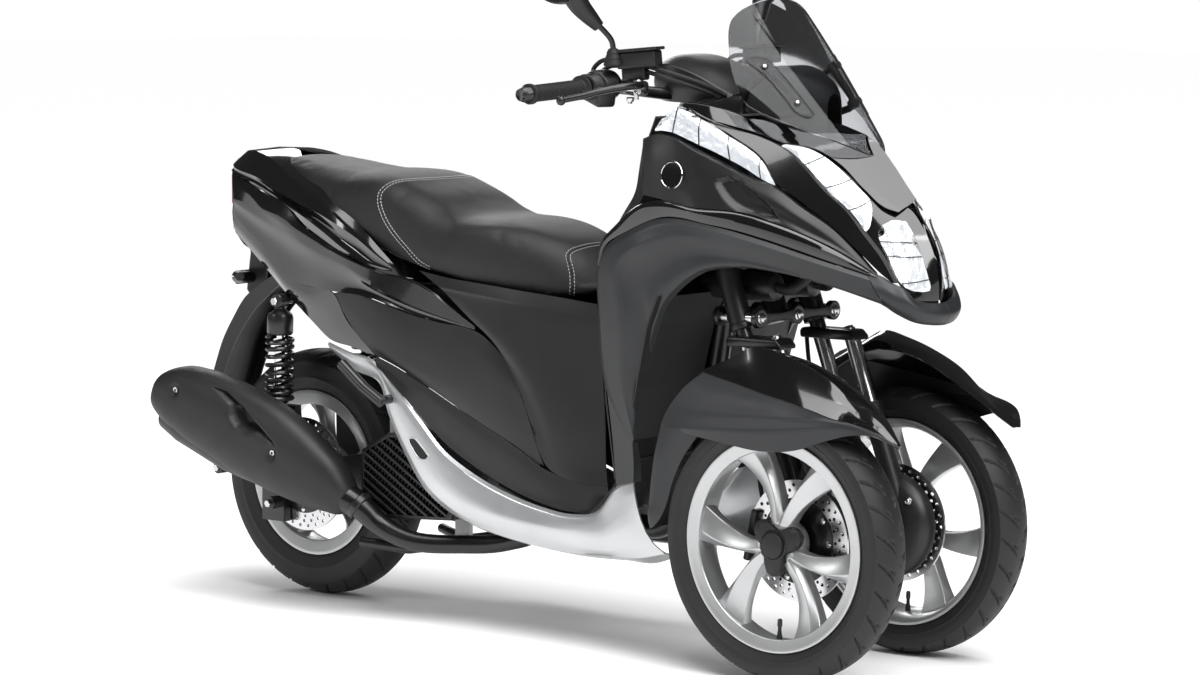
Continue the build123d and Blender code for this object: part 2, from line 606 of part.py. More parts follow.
def build_handlebar():
    column = rod((steer_x(792), 0, 792), (steer_x(1044), 0, 1044), COLUMN_R)
    bars = [pipe([(x, side * y, z) for x, y, z in BAR], BAR_R, 60) for side in (-1, 1)]
    node("handlebar", column, bars)
    grips, controls, mirrors = [], [], []
    (x0, y0, z0), (x1, y1, z1) = BAR[2], BAR[3]
    run = Vector(x1 - x0, y1 - y0, z1 - z0)

    def on_grip(share, side):
        return (x0 + run.X * share, side * (y0 + run.Y * share), z0 + run.Z * share)

    for side in (-1, 1):
        grips.append(rod(on_grip(0.2, side), on_grip(1.0, side), GRIP_R, BAR_R))
        controls.append(rod(on_grip(-0.12, side), on_grip(0.17, side), 22, BAR_R))
        controls.append(block((930, 1000), sorted((side * 160, side * 205)), (1046, 1072)))
        controls.append(pipe([(955, side * 190, 1056), (965, side * 235, 1052), (905, side * 355, 1030)], 6, 30))
        stem = [(945, side * 182, 1068), (950, side * 196, 1160), (915, side * 262, 1212),
                (895, side * 300, 1250)]
        mirrors.append(pipe(stem, 6, 20))
        glass = fillet(Box(18, 126, 82).edges().filter_by(Axis.X), 30)
        mirrors.append(Pos(888, side * 303, 1262) * Rot(0, 0, side * 12) * glass)
    node("grips", grips)
    node("controls", [shape - nodes["handlebar"] for shape in controls])
    node("mirrors", [shape - nodes["controls"] for shape in mirrors])
    hood = []
    for x, half, low, high in ((930, 70, 1042, 1078), (980, 108, 1030, 1104), (1060, 100, 1034, 1112),
                               (1106, 70, 1044, 1092)):
        outline = [(-half, low), (half, low), (half, high - 14), (half - 26, high), (-half + 26, high),
                   (-half, high - 14)]
        hood.append(Plane.YZ.offset(x) * make_face(Polyline(*outline, close=True)))
    cover = loft(hood, ruled=True)
    for shape in (nodes["handlebar"], nodes["controls"], nodes["mirrors"]):
        cover -= shape
    node("handlebar_cover", cover)


# ---- stands and footrests --------------------------------------------------------------------------------
def build_stands():
    x, z = CENTRE_STAND_PIVOT
    parts = [cross_rod(x, z, -80, 80, 11)]
    for side in (-1, 1):
        parts.append(pipe([(x, side * 74, z), (x - 120, side * 84, z - 22), (x - 215, side * 120, z - 12)], 10, 40))
    node("centre_stand", parts)
    sx, sy, sz = SIDE_STAND_PIVOT
    node("side_stand", rod((sx, sy - 12, sz), (sx, sy + 12, sz), 12),
         pipe([(sx, sy, sz), (sx - 130, sy + 8, sz - 12), (sx - 215, sy + 20, sz - 4)], 8, 40))
    rests = []
    for side in (-1, 1):
        rests.append(pipe([(228, side * 196, 500), (290, side * 200, 458), (338, side * 200, 432)], 11, 30))
        rests.append(cross_rod(332, 436, *sorted((side * 166.5, side * 200)), 9))
    node("footrests", rests)


build_front_body()
build_windscreen()
build_rear_body()
build_seat()
build_frame()
build_exhaust()
build_engine()
build_rear_shocks()
build_rear_fender()
build_wheels()
build_arms()
build_posts()
build_forks()
build_fenders()
build_handlebar()
build_stands()

os.makedirs("parts", exist_ok=True)
whole = Compound([Pos(-ORIGIN_X, 0, 0) * shape for shape in nodes.values()])
for name, shape in nodes.items():
    export_step(Pos(-ORIGIN_X, 0, 0) * shape, f"parts/{name}.step")
reach = whole.bounding_box()
print("nodes", len(nodes), "x", reach.min.X, reach.max.X, "y", reach.min.Y, reach.max.Y, "z", reach.min.Z,
      reach.max.Z)
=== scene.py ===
"""Looks of the reverse trike: meshes, finishes, studio and camera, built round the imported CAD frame.

Positions in the tables are millimetres from the point on the floor below the rear axle: x forwards, z up,
and y outwards from the middle. at() turns them into the frame's metres.
"""
import json
from math import cos, pi, radians, sin

import bmesh
import bpy
import numpy as np
from mathutils import Euler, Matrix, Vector
from mathutils.bvhtree import BVHTree

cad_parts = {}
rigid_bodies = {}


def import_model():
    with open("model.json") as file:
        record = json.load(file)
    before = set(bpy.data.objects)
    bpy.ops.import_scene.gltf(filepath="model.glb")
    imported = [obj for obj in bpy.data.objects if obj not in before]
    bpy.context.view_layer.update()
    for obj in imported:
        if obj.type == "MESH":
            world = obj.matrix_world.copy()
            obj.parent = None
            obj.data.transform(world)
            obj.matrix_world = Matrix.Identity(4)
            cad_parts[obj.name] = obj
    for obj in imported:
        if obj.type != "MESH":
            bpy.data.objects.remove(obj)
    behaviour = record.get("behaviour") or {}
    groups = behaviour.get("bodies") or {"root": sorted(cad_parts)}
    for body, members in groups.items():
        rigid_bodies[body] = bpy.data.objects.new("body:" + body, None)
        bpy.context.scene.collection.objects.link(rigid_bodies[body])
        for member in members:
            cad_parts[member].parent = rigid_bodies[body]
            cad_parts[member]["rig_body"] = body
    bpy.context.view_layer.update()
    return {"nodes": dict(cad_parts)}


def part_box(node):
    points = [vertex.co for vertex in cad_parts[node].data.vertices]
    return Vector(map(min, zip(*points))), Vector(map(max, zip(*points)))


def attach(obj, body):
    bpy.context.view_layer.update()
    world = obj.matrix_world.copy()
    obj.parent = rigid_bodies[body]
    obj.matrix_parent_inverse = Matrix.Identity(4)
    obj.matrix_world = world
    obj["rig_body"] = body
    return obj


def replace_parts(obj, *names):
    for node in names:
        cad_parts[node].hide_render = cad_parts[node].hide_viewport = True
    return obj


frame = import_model()
NODES = frame["nodes"]


# ---- places taken from the frame ---------------------------------------------------------------------
def middle(node):
    """The middle of a CAD node's box, in metres."""
    low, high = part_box(node)
    return (low + high) / 2


REAR_AXLE = middle("rear_tyre")
FRONT_AXLE = middle("front_tyre_left")
ORIGIN_X = REAR_AXLE.x * 1000
AXLE_Z = FRONT_AXLE.z * 1000
WHEELBASE = (FRONT_AXLE.x - REAR_AXLE.x) * 1000
HALF_TRACK = FRONT_AXLE.y * 1000
RAKE = radians(20)
RAKE_SLOPE = 0.36397           # its tangent
STEER_FOOT_X = 1378            # where the steering axes meet the floor
RIGHT, LEFT = -1, 1


def at(x, y, z):
    """Millimetres from the rear axle's foot, in the frame's metres."""
    return Vector(((x + ORIGIN_X) / 1000, y / 1000, z / 1000))


def from_frame(place):
    """A place in the frame's metres, in millimetres from the rear axle's foot."""
    return np.array(place) * 1000 - (ORIGIN_X, 0, 0)


def steer_x(z):
    """The steering axes' x at a height."""
    return STEER_FOOT_X - z * RAKE_SLOPE


# ---- finishes ----------------------------------------------------------------------------------------
def set_inputs(tree, node, **inputs):
    """Sets a node's inputs by name, with _ for a space. Another node's output is linked."""
    for key, value in inputs.items():
        socket = node.inputs[key.replace("_", " ")]
        if isinstance(value, bpy.types.NodeSocket):
            tree.links.new(value, socket)
        else:
            socket.default_value = value
    return node


def add_node(tree, kind, **inputs):
    """A new shader node with its inputs."""
    return set_inputs(tree, tree.nodes.new("ShaderNode" + kind), **inputs)


def principled(name):
    """A new material with its node tree, its Principled shader and the place on the object."""
    made = bpy.data.materials.new(name)
    made.use_nodes = True
    tree = made.node_tree
    return made, tree, tree.nodes["Principled BSDF"], add_node(tree, "TexCoord").outputs["Object"]


def finish_material(name, colour, roughness, metallic=0, coat=0, grain=None, uneven=0.06, tint=0.25,
                    cell=None, wear=None, **sockets):
    """A Principled finish with its own colour drift, uneven polish and surface grain.

    grain is (cells per metre, bump height in metres) of fine noise, cell the same of leather-like cells,
    and wear a colour that shows on the sharp edges.
    """
    made, tree, shader, place = principled(name)

    def noise(scale, detail=3):
        return add_node(tree, "TexNoise", Vector=place, Scale=scale, Detail=detail).outputs["Fac"]

    drift = add_node(tree, "ValToRGB", Fac=noise(9))
    for element, position, share in zip(drift.color_ramp.elements, (0.3, 0.7), (1 - tint, 1)):
        element.position = position
        element.color = (*(c * share for c in colour), 1)
    base = drift.outputs["Color"]
    if wear:
        edge = add_node(tree, "MapRange", Value=add_node(tree, "NewGeometry").outputs["Pointiness"],
                        From_Min=0.52, From_Max=0.62, To_Max=0.7)
        mix = tree.nodes.new("ShaderNodeMix")
        mix.data_type = "RGBA"
        set_inputs(tree, mix, Factor=edge.outputs["Result"], A=base, B=(*wear, 1))
        base = mix.outputs["Result"]
    polish = add_node(tree, "MapRange", Value=noise(26), To_Min=max(roughness - uneven, 0.02),
                      To_Max=roughness + uneven)
    set_inputs(tree, shader, Base_Color=base, Roughness=polish.outputs["Result"], Metallic=metallic,
               Coat_Weight=coat, **sockets)
    if cell:
        cells = add_node(tree, "TexVoronoi", Vector=place, Scale=cell[0])
        cells.feature = "DISTANCE_TO_EDGE"
        crest = add_node(tree, "MapRange", Value=cells.outputs["Distance"], From_Max=0.25)
        add_bump(tree, shader, crest.outputs["Result"], cell[1])
    elif grain:
        add_bump(tree, shader, noise(grain[0], 2), grain[1])
    return made


def add_bump(tree, shader, height, distance):
    """Feeds a height through a bump node into a shader's normal."""
    bump = add_node(tree, "Bump", Strength=1, Distance=distance, Height=height)
    set_inputs(tree, shader, Normal=bump.outputs["Normal"])


def clear_material(name, colour, roughness, ior, ribs=None):
    """A clear or smoked moulding. ribs is (lines per metre, bump height) of a moulded pattern."""
    made, tree, shader, place = principled(name)
    haze = add_node(tree, "TexNoise", Vector=place, Scale=14)
    polish = add_node(tree, "MapRange", Value=haze.outputs["Fac"], To_Min=max(roughness - 0.01, 0),
                      To_Max=roughness + 0.02)
    set_inputs(tree, shader, Base_Color=(*colour, 1), Transmission_Weight=1, IOR=ior,
               Roughness=polish.outputs["Result"])
    if ribs:
        wave = add_node(tree, "TexWave", Vector=place, Scale=ribs[0], Distortion=1.5)
        add_bump(tree, shader, wave.outputs["Fac"], ribs[1])
    return made


GLOSS = finish_material("gloss_black", (0.006, 0.006, 0.0065), 0.11, coat=0.6, grain=(60, 0.00004),
                        uneven=0.03, Coat_Roughness=0.03)
SATIN = finish_material("satin_grey", (0.0165, 0.0175, 0.0195), 0.43, grain=(900, 0.00006), uneven=0.05)
MATTE = finish_material("matte_black", (0.0062, 0.0062, 0.0066), 0.55, grain=(1300, 0.00012), uneven=0.06)
DARK = finish_material("deep_black", (0.003, 0.003, 0.003), 0.5, grain=(700, 0.0001))
SILVER = finish_material("silver_paint", (0.56, 0.57, 0.58), 0.3, metallic=0.75, coat=0.35,
                         grain=(2600, 0.00003), uneven=0.04, tint=0.06)
WHEEL = finish_material("wheel_silver", (0.52, 0.525, 0.53), 0.34, metallic=0.8, coat=0.25,
                        grain=(2200, 0.00003), uneven=0.05, tint=0.08)
BLACK_METAL = finish_material("black_metal", (0.0055, 0.0055, 0.006), 0.32, metallic=0.2, coat=0.2,
                              grain=(500, 0.0001), wear=(0.03, 0.03, 0.033))
MUFFLER_PAINT = finish_material("heatproof_black", (0.0075, 0.0075, 0.008), 0.52, grain=(1100, 0.00015),
                                uneven=0.07)
SATIN_DARK = finish_material("satin_black", (0.0072, 0.0074, 0.0078), 0.4, grain=(900, 0.00008), uneven=0.05)
DARK_PAINT = finish_material("spring_paint", (0.009, 0.009, 0.0095), 0.28, coat=0.3, grain=(700, 0.00005))
CAST = finish_material("cast_alloy", (0.30, 0.30, 0.31), 0.46, metallic=0.85, grain=(650, 0.00025),
                       tint=0.2, wear=(0.5, 0.5, 0.5))
STEEL = finish_material("steel", (0.62, 0.62, 0.63), 0.22, metallic=1, grain=(1500, 0.00002), tint=0.1)
CHROME = finish_material("chrome", (0.8, 0.8, 0.82), 0.06, metallic=1, uneven=0.02, tint=0.04)
RUBBER = finish_material("tyre_rubber", (0.0085, 0.0085, 0.009), 0.58, grain=(1700, 0.00012), tint=0.3)
GRIP = finish_material("grip_rubber", (0.0065, 0.0065, 0.0065), 0.62, grain=(2200, 0.0002))
LEATHER = finish_material("seat_leather", (0.004, 0.004, 0.0043), 0.5, cell=(620, 0.00016), tint=0.2)
THREAD = finish_material("thread", (0.62, 0.62, 0.62), 0.7, grain=(3000, 0.0002), tint=0.1)
MIRROR_GLASS = finish_material("mirror_glass", (0.75, 0.78, 0.8), 0.03, metallic=1, uneven=0.01, tint=0.03)
# the reflectors' emission is a painted glow: painted light standing in for studio light reflected inside the
# unlit lamps
REFLECTOR_PAINTED_GLOW = finish_material("reflector", (0.88, 0.9, 0.93), 0.22, metallic=0.45, grain=(70, 0.004),
                            uneven=0.08, tint=0.3, Emission_Color=(0.93, 0.96, 1, 1), Emission_Strength=0.4)
RED = finish_material("red_lens", (0.30, 0.006, 0.006), 0.12, coat=0.6, grain=(500, 0.0002), tint=0.2)
CLEAR = clear_material("clear_lens", (0.97, 0.98, 0.99), 0.03, ior=1.3)
RIBBED = clear_material("ribbed_lens", (0.97, 0.98, 0.99), 0.04, ior=1.3, ribs=(34, 0.0004))
SMOKE = clear_material("smoke_screen", (0.62, 0.63, 0.65), 0.02, ior=1.3)
SMOKE_FLAT = clear_material("smoke_backing", (0.5, 0.51, 0.53), 0.12, ior=1.15)
MIRROR_DARK = finish_material("display_glass", (0.01, 0.012, 0.014), 0.06, coat=0.8, uneven=0.02)

# the CAD nodes that take each finish
NODE_FINISH = {
    GLOSS: "front_cowl tail_cowl grab_rail fender_left fender_right",
    SATIN: "leg_shield side_covers side_cowls nose_trim",
    SILVER: "side_trims",
    MATTE: "footboard inner_shield wheel_house screen_mount rear_fender belt_case radiator_cover "
           "storage_box mirrors handlebar_cover",
    SMOKE: "windscreen",
    RED: "tail_lamp",
    BLACK_METAL: "frame rear_arm rear_shocks fork_left fork_right handlebar controls footrests "
                 "centre_stand side_stand",
    CAST: "engine",
    MUFFLER_PAINT: "exhaust",
    LEATHER: "seat",
    REFLECTOR_PAINTED_GLOW: "turn_lamps position_lamps headlamp",
    SATIN_DARK: "tilt_arms bearing_posts",
    GRIP: "grips",
    RUBBER: "rear_tyre front_tyre_left front_tyre_right",
    WHEEL: "rear_rim front_rim_left front_rim_right",
    STEEL: "rear_disc front_disc_left front_disc_right",
}
for finish, nodes in NODE_FINISH.items():
    for node in nodes.split():
        NODES[node].data.materials.clear()
        NODES[node].data.materials.append(finish)


# ---- mesh helpers ------------------------------------------------------------------------------------
def mesh_piece(name, points, faces, finish, body="root", sharp=32, merge=0):
    """A mesh piece from points in millimetres, smooth but for edges sharper than an angle."""
    mesh = bpy.data.meshes.new(name)
    mesh.from_pydata([at(*p) for p in points], [], faces)
    if merge:
        bm = bmesh.new()
        bm.from_mesh(mesh)
        bmesh.ops.remove_doubles(bm, verts=bm.verts, dist=merge / 1000)
        bm.to_mesh(mesh)
        bm.free()
    return placed_piece(mesh, [finish], body, sharp)


def placed_piece(mesh, finishes, body, sharp=32):
    """An object of a mesh, shaded, riding on its body and with its finishes."""
    for finish in finishes:
        mesh.materials.append(finish)
    mesh.shade_smooth()
    mesh.set_sharp_from_angle(angle=radians(sharp))
    made = bpy.data.objects.new(mesh.name, mesh)
    bpy.context.scene.collection.objects.link(made)
    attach(made, body)
    return made


def modifier(piece, kind, **settings):
    """A modifier with its settings."""
    made = piece.modifiers.new(kind.lower(), kind)
    for key, value in settings.items():
        setattr(made, key, value)
    return made


def thicken(piece, thickness, bevel=1.2, segments=3):
    """Gives a sheet its thickness, inwards, with rounded edges. Millimetres."""
    modifier(piece, "SOLIDIFY", thickness=thickness / 1000, offset=-1, use_even_offset=True,
             thickness_clamp=0.6)
    return soften(piece, bevel, segments)


def soften(piece, bevel, segments=3, angle=32):
    """Rounds the sharp edges so that they catch the light."""
    modifier(piece, "BEVEL", width=bevel / 1000, segments=segments, limit_method="ANGLE",
             angle_limit=radians(angle), use_clamp_overlap=True)
    modifier(piece, "WEIGHTED_NORMAL", keep_sharp=True)
    return piece


def mirrored(piece):
    """Adds the same piece on the other side."""
    modifier(piece, "MIRROR", use_axis=(False, True, False), use_mirror_merge=False)
    return piece


def curve(points, steps, corners=(), closed=False):
    """Points on a smooth curve through some points, which turns sharply only at the corners.

    Each span between two points gets the same number of steps, so rows of one patch stay in line.
    """
    p = np.asarray(points, float)
    if closed:
        p = np.vstack([p, p[:1]])
    count = len(p)
    gap = np.maximum(np.linalg.norm(np.diff(p, axis=0), axis=1), 1e-6)
    slope = np.diff(p, axis=0) / gap[:, None]
    into, out = np.zeros_like(p), np.zeros_like(p)
    for k in range(count):
        before, after = k - 1, k
        if closed and k in (0, count - 1):
            before, after = count - 2, 0
        if before < 0 or after > count - 2 or k in corners:
            into[k] = slope[max(before, 0)]
            out[k] = slope[min(after, count - 2)]
        else:
            a, b = gap[before], gap[after]
            into[k] = out[k] = (slope[before] * b + slope[after] * a) / (a + b)
    found = []
    for k in range(count - 1):
        for step in range(steps):
            t = step / steps
            h = gap[k]
            found.append((2 * t**3 - 3 * t**2 + 1) * p[k] + (t**3 - 2 * t**2 + t) * h * out[k]
                         + (3 * t**2 - 2 * t**3) * p[k + 1] + (t**3 - t**2) * h * into[k + 1])
    if not closed:
        found.append(p[-1])
    return np.array(found)


def grid_faces(rows, columns, wrap_rows=False, wrap_columns=False):
    """Quads of a grid of points, row by row."""
    faces = []
    for i in range(rows if wrap_rows else rows - 1):
        for j in range(columns if wrap_columns else columns - 1):
            a, b = (i + 1) % rows, (j + 1) % columns
            faces.append((i * columns + j, i * columns + b, a * columns + b, a * columns + j))
    return faces


def end_faces(rows, columns):
    """The two flat ends of a closed tube of rings."""
    return [tuple(range(columns)), tuple(range((rows - 1) * columns, rows * columns))]


def slab(name, ring, other, finish, body="root"):
    """A closed piece between two outlines with the same number of points."""
    count = len(ring)
    sides = [(k, (k + 1) % count, count + (k + 1) % count, count + k) for k in range(count)]
    ends = [tuple(range(count)), tuple(range(count, 2 * count))[::-1]]
    return outward(mesh_piece(name, [*ring, *other], ends + sides, finish, body))


def patch(name, rows, finish, body="root", along=5, across=4, creases=(), outward=(0, -1, 0), thickness=3,
          bevel=1.2, both=True, y_sign=RIGHT):
    """A body panel through rows of (x, y, z) points, creased along some rows."""
    table = np.array(rows, float)
    table[:, :, 1] *= y_sign
    lines = np.array([curve(row, along) for row in table])
    grid = np.array([curve(lines[:, k], across, creases) for k in range(lines.shape[1])])
    grid = grid.transpose(1, 0, 2)
    faces = grid_faces(*grid.shape[:2])
    a = grid[1:, 1:] - grid[:-1, :-1]
    b = grid[1:, :-1] - grid[:-1, 1:]
    facing = np.cross(b, a).reshape(-1, 3).sum(0)
    if facing @ np.array(outward, float) > 0:
        faces = [face[::-1] for face in faces]
    made = mesh_piece(name, grid.reshape(-1, 3), faces, finish, body, merge=0.05)
    if both:
        mirrored(made)
    if thickness:
        thicken(made, thickness, bevel)
    return made


def tube(name, points, radius, finish, body="root", sides=16, steps=6, closed=False):
    """A round bar along a smooth line; radius is one number or one for each point."""
    line = curve(points, steps, closed=closed)
    size = np.full(len(points), float(radius)) if np.isscalar(radius) else np.array(radius, float)
    if closed:
        size = np.append(size, size[0])
    size = np.interp(np.arange(len(line)) / steps, np.arange(len(size)), size)
    count = len(line)
    ahead = np.roll(line, -1, 0) - np.roll(line, 1, 0)
    if not closed:
        ahead[0], ahead[-1] = line[1] - line[0], line[-1] - line[-2]
    ahead /= np.linalg.norm(ahead, axis=1)[:, None]
    up = np.cross(ahead[0], (0.13, 0.41, 0.9))
    verts = []
    for k in range(count):
        up = up - ahead[k] * (up @ ahead[k])
        up /= np.linalg.norm(up)
        side = np.cross(ahead[k], up)
        for n in range(sides):
            a = 2 * pi * n / sides
            verts.append(line[k] + (up * cos(a) + side * sin(a)) * size[k])
    faces = grid_faces(count, sides, closed, True)
    if not closed:
        faces += [tuple(range(sides))[::-1], tuple(range((count - 1) * sides, count * sides))]
    return mesh_piece(name, verts, faces, finish, body)


def turned(name, profile, centre, axis, finish, body="root", segments=64, closed=False, sharp=32, bevel=0):
    """A profile of (radius, reach along the axis) turned about an axis through a centre in millimetres."""
    axis = Vector(axis).normalized()
    side = axis.orthogonal().normalized() if abs(axis.y) < 0.9 else Vector((1, 0, 0))
    other = axis.cross(side)
    verts = []
    for radius, reach in profile:
        for n in range(segments):
            a = 2 * pi * n / segments
            verts.append(Vector(centre) + axis * reach + (side * cos(a) + other * sin(a)) * radius)
    faces = grid_faces(len(profile), segments, closed, True)
    made = outward(mesh_piece(name, verts, faces, finish, body, sharp=sharp, merge=0.01))
    return soften(made, bevel) if bevel else made


def outward(piece):
    """Turns a closed mesh's faces outwards."""
    bm = bmesh.new()
    bm.from_mesh(piece.data)
    bmesh.ops.recalc_face_normals(bm, faces=bm.faces)
    bm.to_mesh(piece.data)
    bm.free()
    return piece


def plate(name, outline, y_low, y_high, finish, body="root", bevel=1, both=False):
    """A flat plate with a side-view outline of (x, z)."""
    made = slab(name, *([(x, y, z) for x, z in outline] for y in (y_low, y_high)), finish, body)
    if both:
        mirrored(made)
    return soften(made, bevel)


def merged(name, parts):
    """Joins pieces, with their modifiers applied, into one."""
    depsgraph = bpy.context.evaluated_depsgraph_get()
    bm = bmesh.new()
    slots = []
    for part in parts:
        mesh = bpy.data.meshes.new_from_object(part.evaluated_get(depsgraph))
        finish = mesh.materials[0]
        if finish not in slots:
            slots.append(finish)
        for polygon in mesh.polygons:
            polygon.material_index = slots.index(finish)
        bm.from_mesh(mesh)
        bpy.data.meshes.remove(mesh)
    body = parts[0]["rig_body"]
    for part in parts:
        bpy.data.objects.remove(part)
    mesh = bpy.data.meshes.new(name)
    bm.to_mesh(mesh)
    bm.free()
    return placed_piece(mesh, slots, body)


# ---- wheels ------------------------------------------------------------------------------------------
# each tyre: body, radius, half width, rim radius, half width at the bead, grooves round it
TYRES = {
    "rear": ("rear_wheel", 250, 54, 161, 40, 28),
    "front_left": ("front_wheel_left", 249.5, 45.5, 186, 33, 30),
    "front_right": ("front_wheel_right", 249.5, 45.5, 186, 33, 30),
}
TREAD_STEPS = 600              # points round a tyre
TREAD_RADIUS = 245             # where the cuts' widths are measured
SHOULDER = 0.955               # the tread's half width, as a share of the tyre's
CROWN_DROP = 0.27              # from the crown to the shoulder, as a share of the wall's height
CROWN_STEPS = 21
GROOVE_DEPTH = 3.4
CUT_WALL = 0.8                 # width of a cut's sloping wall
# the groove and the sipe that repeat on each half of the tread: the shares of the way to the shoulder where
# each starts and ends, how far its ends fade, half its width, its share of the depth, and how it leans
CUTS = (
    (0.14, 0.97, 0.1, 0.08, 2.4, 1, lambda share: 0.95 * (share - 0.1) ** 0.75),
    (0.16, 0.44, 0.05, 0.05, 1.7, 0.8, lambda share: 0.35 + 0.55 * share),
)


def wheel_centre(name):
    """The middle of a wheel, in millimetres."""
    if name == "rear":
        return Vector((0, 0, REAR_AXLE.z * 1000))
    side = LEFT if name.endswith("left") else RIGHT
    return Vector((WHEELBASE, side * HALF_TRACK, AXLE_Z))


def tyre_section(radius, half, rim, bead):
    """Half a tyre's section from bead to crown, as (radius, reach, share of the way over the tread)."""
    wall = [(rim + 1, bead - 3), (rim + 7, bead - 1), (rim + 10, bead + 3.5), (rim + 16, bead + 6)]
    tall = radius - rim
    wall += [(rim + tall * up, half * out) for up, out in ((0.36, 0.975), (0.37, 0.985), (0.39, 0.985),
                                                           (0.40, 0.975), (0.5, 1), (0.6, 0.995),
                                                           (0.68, 0.965))]
    crown = []
    for k in range(CROWN_STEPS + 1):
        a = k / CROWN_STEPS
        out = SHOULDER - SHOULDER * a
        drop = tall * CROWN_DROP * (out / SHOULDER) ** 2.3
        crown.append((radius - drop, half * out, 1 - a))
    return [(r, y, 1.2) for r, y in wall] + crown


def groove(share, angle, repeats, side):
    """How deep the tread is cut at a share of the way to the shoulder and an angle, from 0 to 1."""
    pitch = 2 * pi / repeats
    turn = (angle / pitch + (0.5 if side > 0 else 0)) % 1
    arc = 2 * pi * TREAD_RADIUS / repeats
    deep = 0
    for start, end, fade_in, fade_out, half, full, lean in CUTS:
        if start < share < end:
            gap = abs((turn - lean(share) + 0.5) % 1 - 0.5) * arc
            fade = min((share - start) / fade_in, (end - share) / fade_out, 1)
            deep = max(deep, full * fade * min(max((half + CUT_WALL - gap) / CUT_WALL, 0), 1))
    return deep


def build_tyre(name):
    """A tyre with its tread cut into the crown."""
    body, radius, half, rim, bead, repeats = TYRES[name]
    section = tyre_section(radius, half, rim, bead)
    section = section + [(r, -y, -s) for r, y, s in section[-2::-1]]
    centre = wheel_centre(name)
    verts = []
    for r, y, share in section:
        for n in range(TREAD_STEPS):
            a = 2 * pi * n / TREAD_STEPS
            cut = r - GROOVE_DEPTH * groove(abs(share), a, repeats, share)
            verts.append((centre.x + cut * cos(a), centre.y + y, centre.z + cut * sin(a)))
    faces = grid_faces(len(section), TREAD_STEPS, False, True)
    made = outward(mesh_piece(f"{name}_tread", verts, faces, RUBBER, body, sharp=40))
    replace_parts(made, "rear_tyre" if name == "rear" else f"front_tyre_{name[6:]}")


# a front spoke's sections: radius, then (sideways, outwards) round the blade
BLADE = [
    (36, [(-15, 19), (-3, 27), (12, 22), (13, -4), (-14, -6)]),
    (70, [(-14, 14), (-7, 25), (14, 15), (13, -9), (-12, -11)]),
    (110, [(-18, 10), (-10, 24), (21, 10), (19, -10), (-16, -12)]),
    (150, [(-26, 13), (-11, 25), (30, 13), (27, -10), (-23, -12)]),
    (177, [(-33, 22), (-10, 28), (38, 21), (34, -13), (-29, -14)]),
]
PAIR_ANGLES = (82, 202, 322)   # middles of the front wheels' three pairs of spokes, degrees
PAIR_HALF = (11, 30)           # half a pair's spread at the hub and at the rim, degrees
LOBE_RADIUS, LOBE_SWELL = 43, 16     # the hub cover's middle radius, and how far its lobes stand out
LOBE_TURN = radians(22)
VALVE_ANGLE = radians(268)


def wheel_point(centre, side, radius, angle, sideways, outwards):
    """A point on a wheel from its radius, angle, offset round the wheel and reach outwards."""
    c, s = cos(angle), sin(angle)
    return (centre.x + radius * c - sideways * s, centre.y + side * outwards,
            centre.z + radius * s + sideways * c)


def spoke(name, body, centre, side, angles, sections, flip=1):
    """A cast blade from the hub to the rim, through sections that turn from one angle to another."""
    ring = len(sections[0][1])
    rows = np.array([[(radius, *point) for point in points] for radius, points in sections], float)
    fine = np.array([curve(rows[:, k], 5) for k in range(ring)]).transpose(1, 0, 2)
    verts = []
    first, last = sections[0][0], sections[-1][0]
    for row in fine:
        share = (row[0][0] - first) / (last - first)
        angle = radians(angles[0] + (angles[1] - angles[0]) * share)
        for radius, sideways, outwards in row:
            verts.append(wheel_point(centre, side, radius, angle, sideways * flip, outwards))
    faces = grid_faces(len(fine), ring, False, True)
    faces += [tuple(range(ring)), tuple(range(len(verts) - ring, len(verts)))[::-1]]
    made = outward(mesh_piece(name, verts, faces, WHEEL, body))
    return soften(made, 2.2, 3, 24)


# front rim's section, (radius, reach outwards) round the barrel
FRONT_BARREL = [(193, 38), (193, 33.5), (190, 31), (187, 30), (184, 24), (181, 12), (180, -12), (183, -26),
                (187, -30), (190, -31), (193, -33.5), (193, -38), (188, -38), (182, -34), (177, -26),
                (173, -12), (173, 10), (171, 22), (169, 29), (168.5, 32), (170, 34.5), (176, 35), (185, 37),
                (189, 38)]
REAR_BARREL = [(168, 45), (168, 41), (164, 38), (160, 36), (155, 24), (153, 0), (155, -24), (160, -36),
               (164, -38), (168, -41), (168, -45), (162, -45), (156, -40), (149, -28), (146, -8), (146, 10),
               (143, 26), (140, 35), (139, 38), (141, 41), (150, 42), (160, 44)]


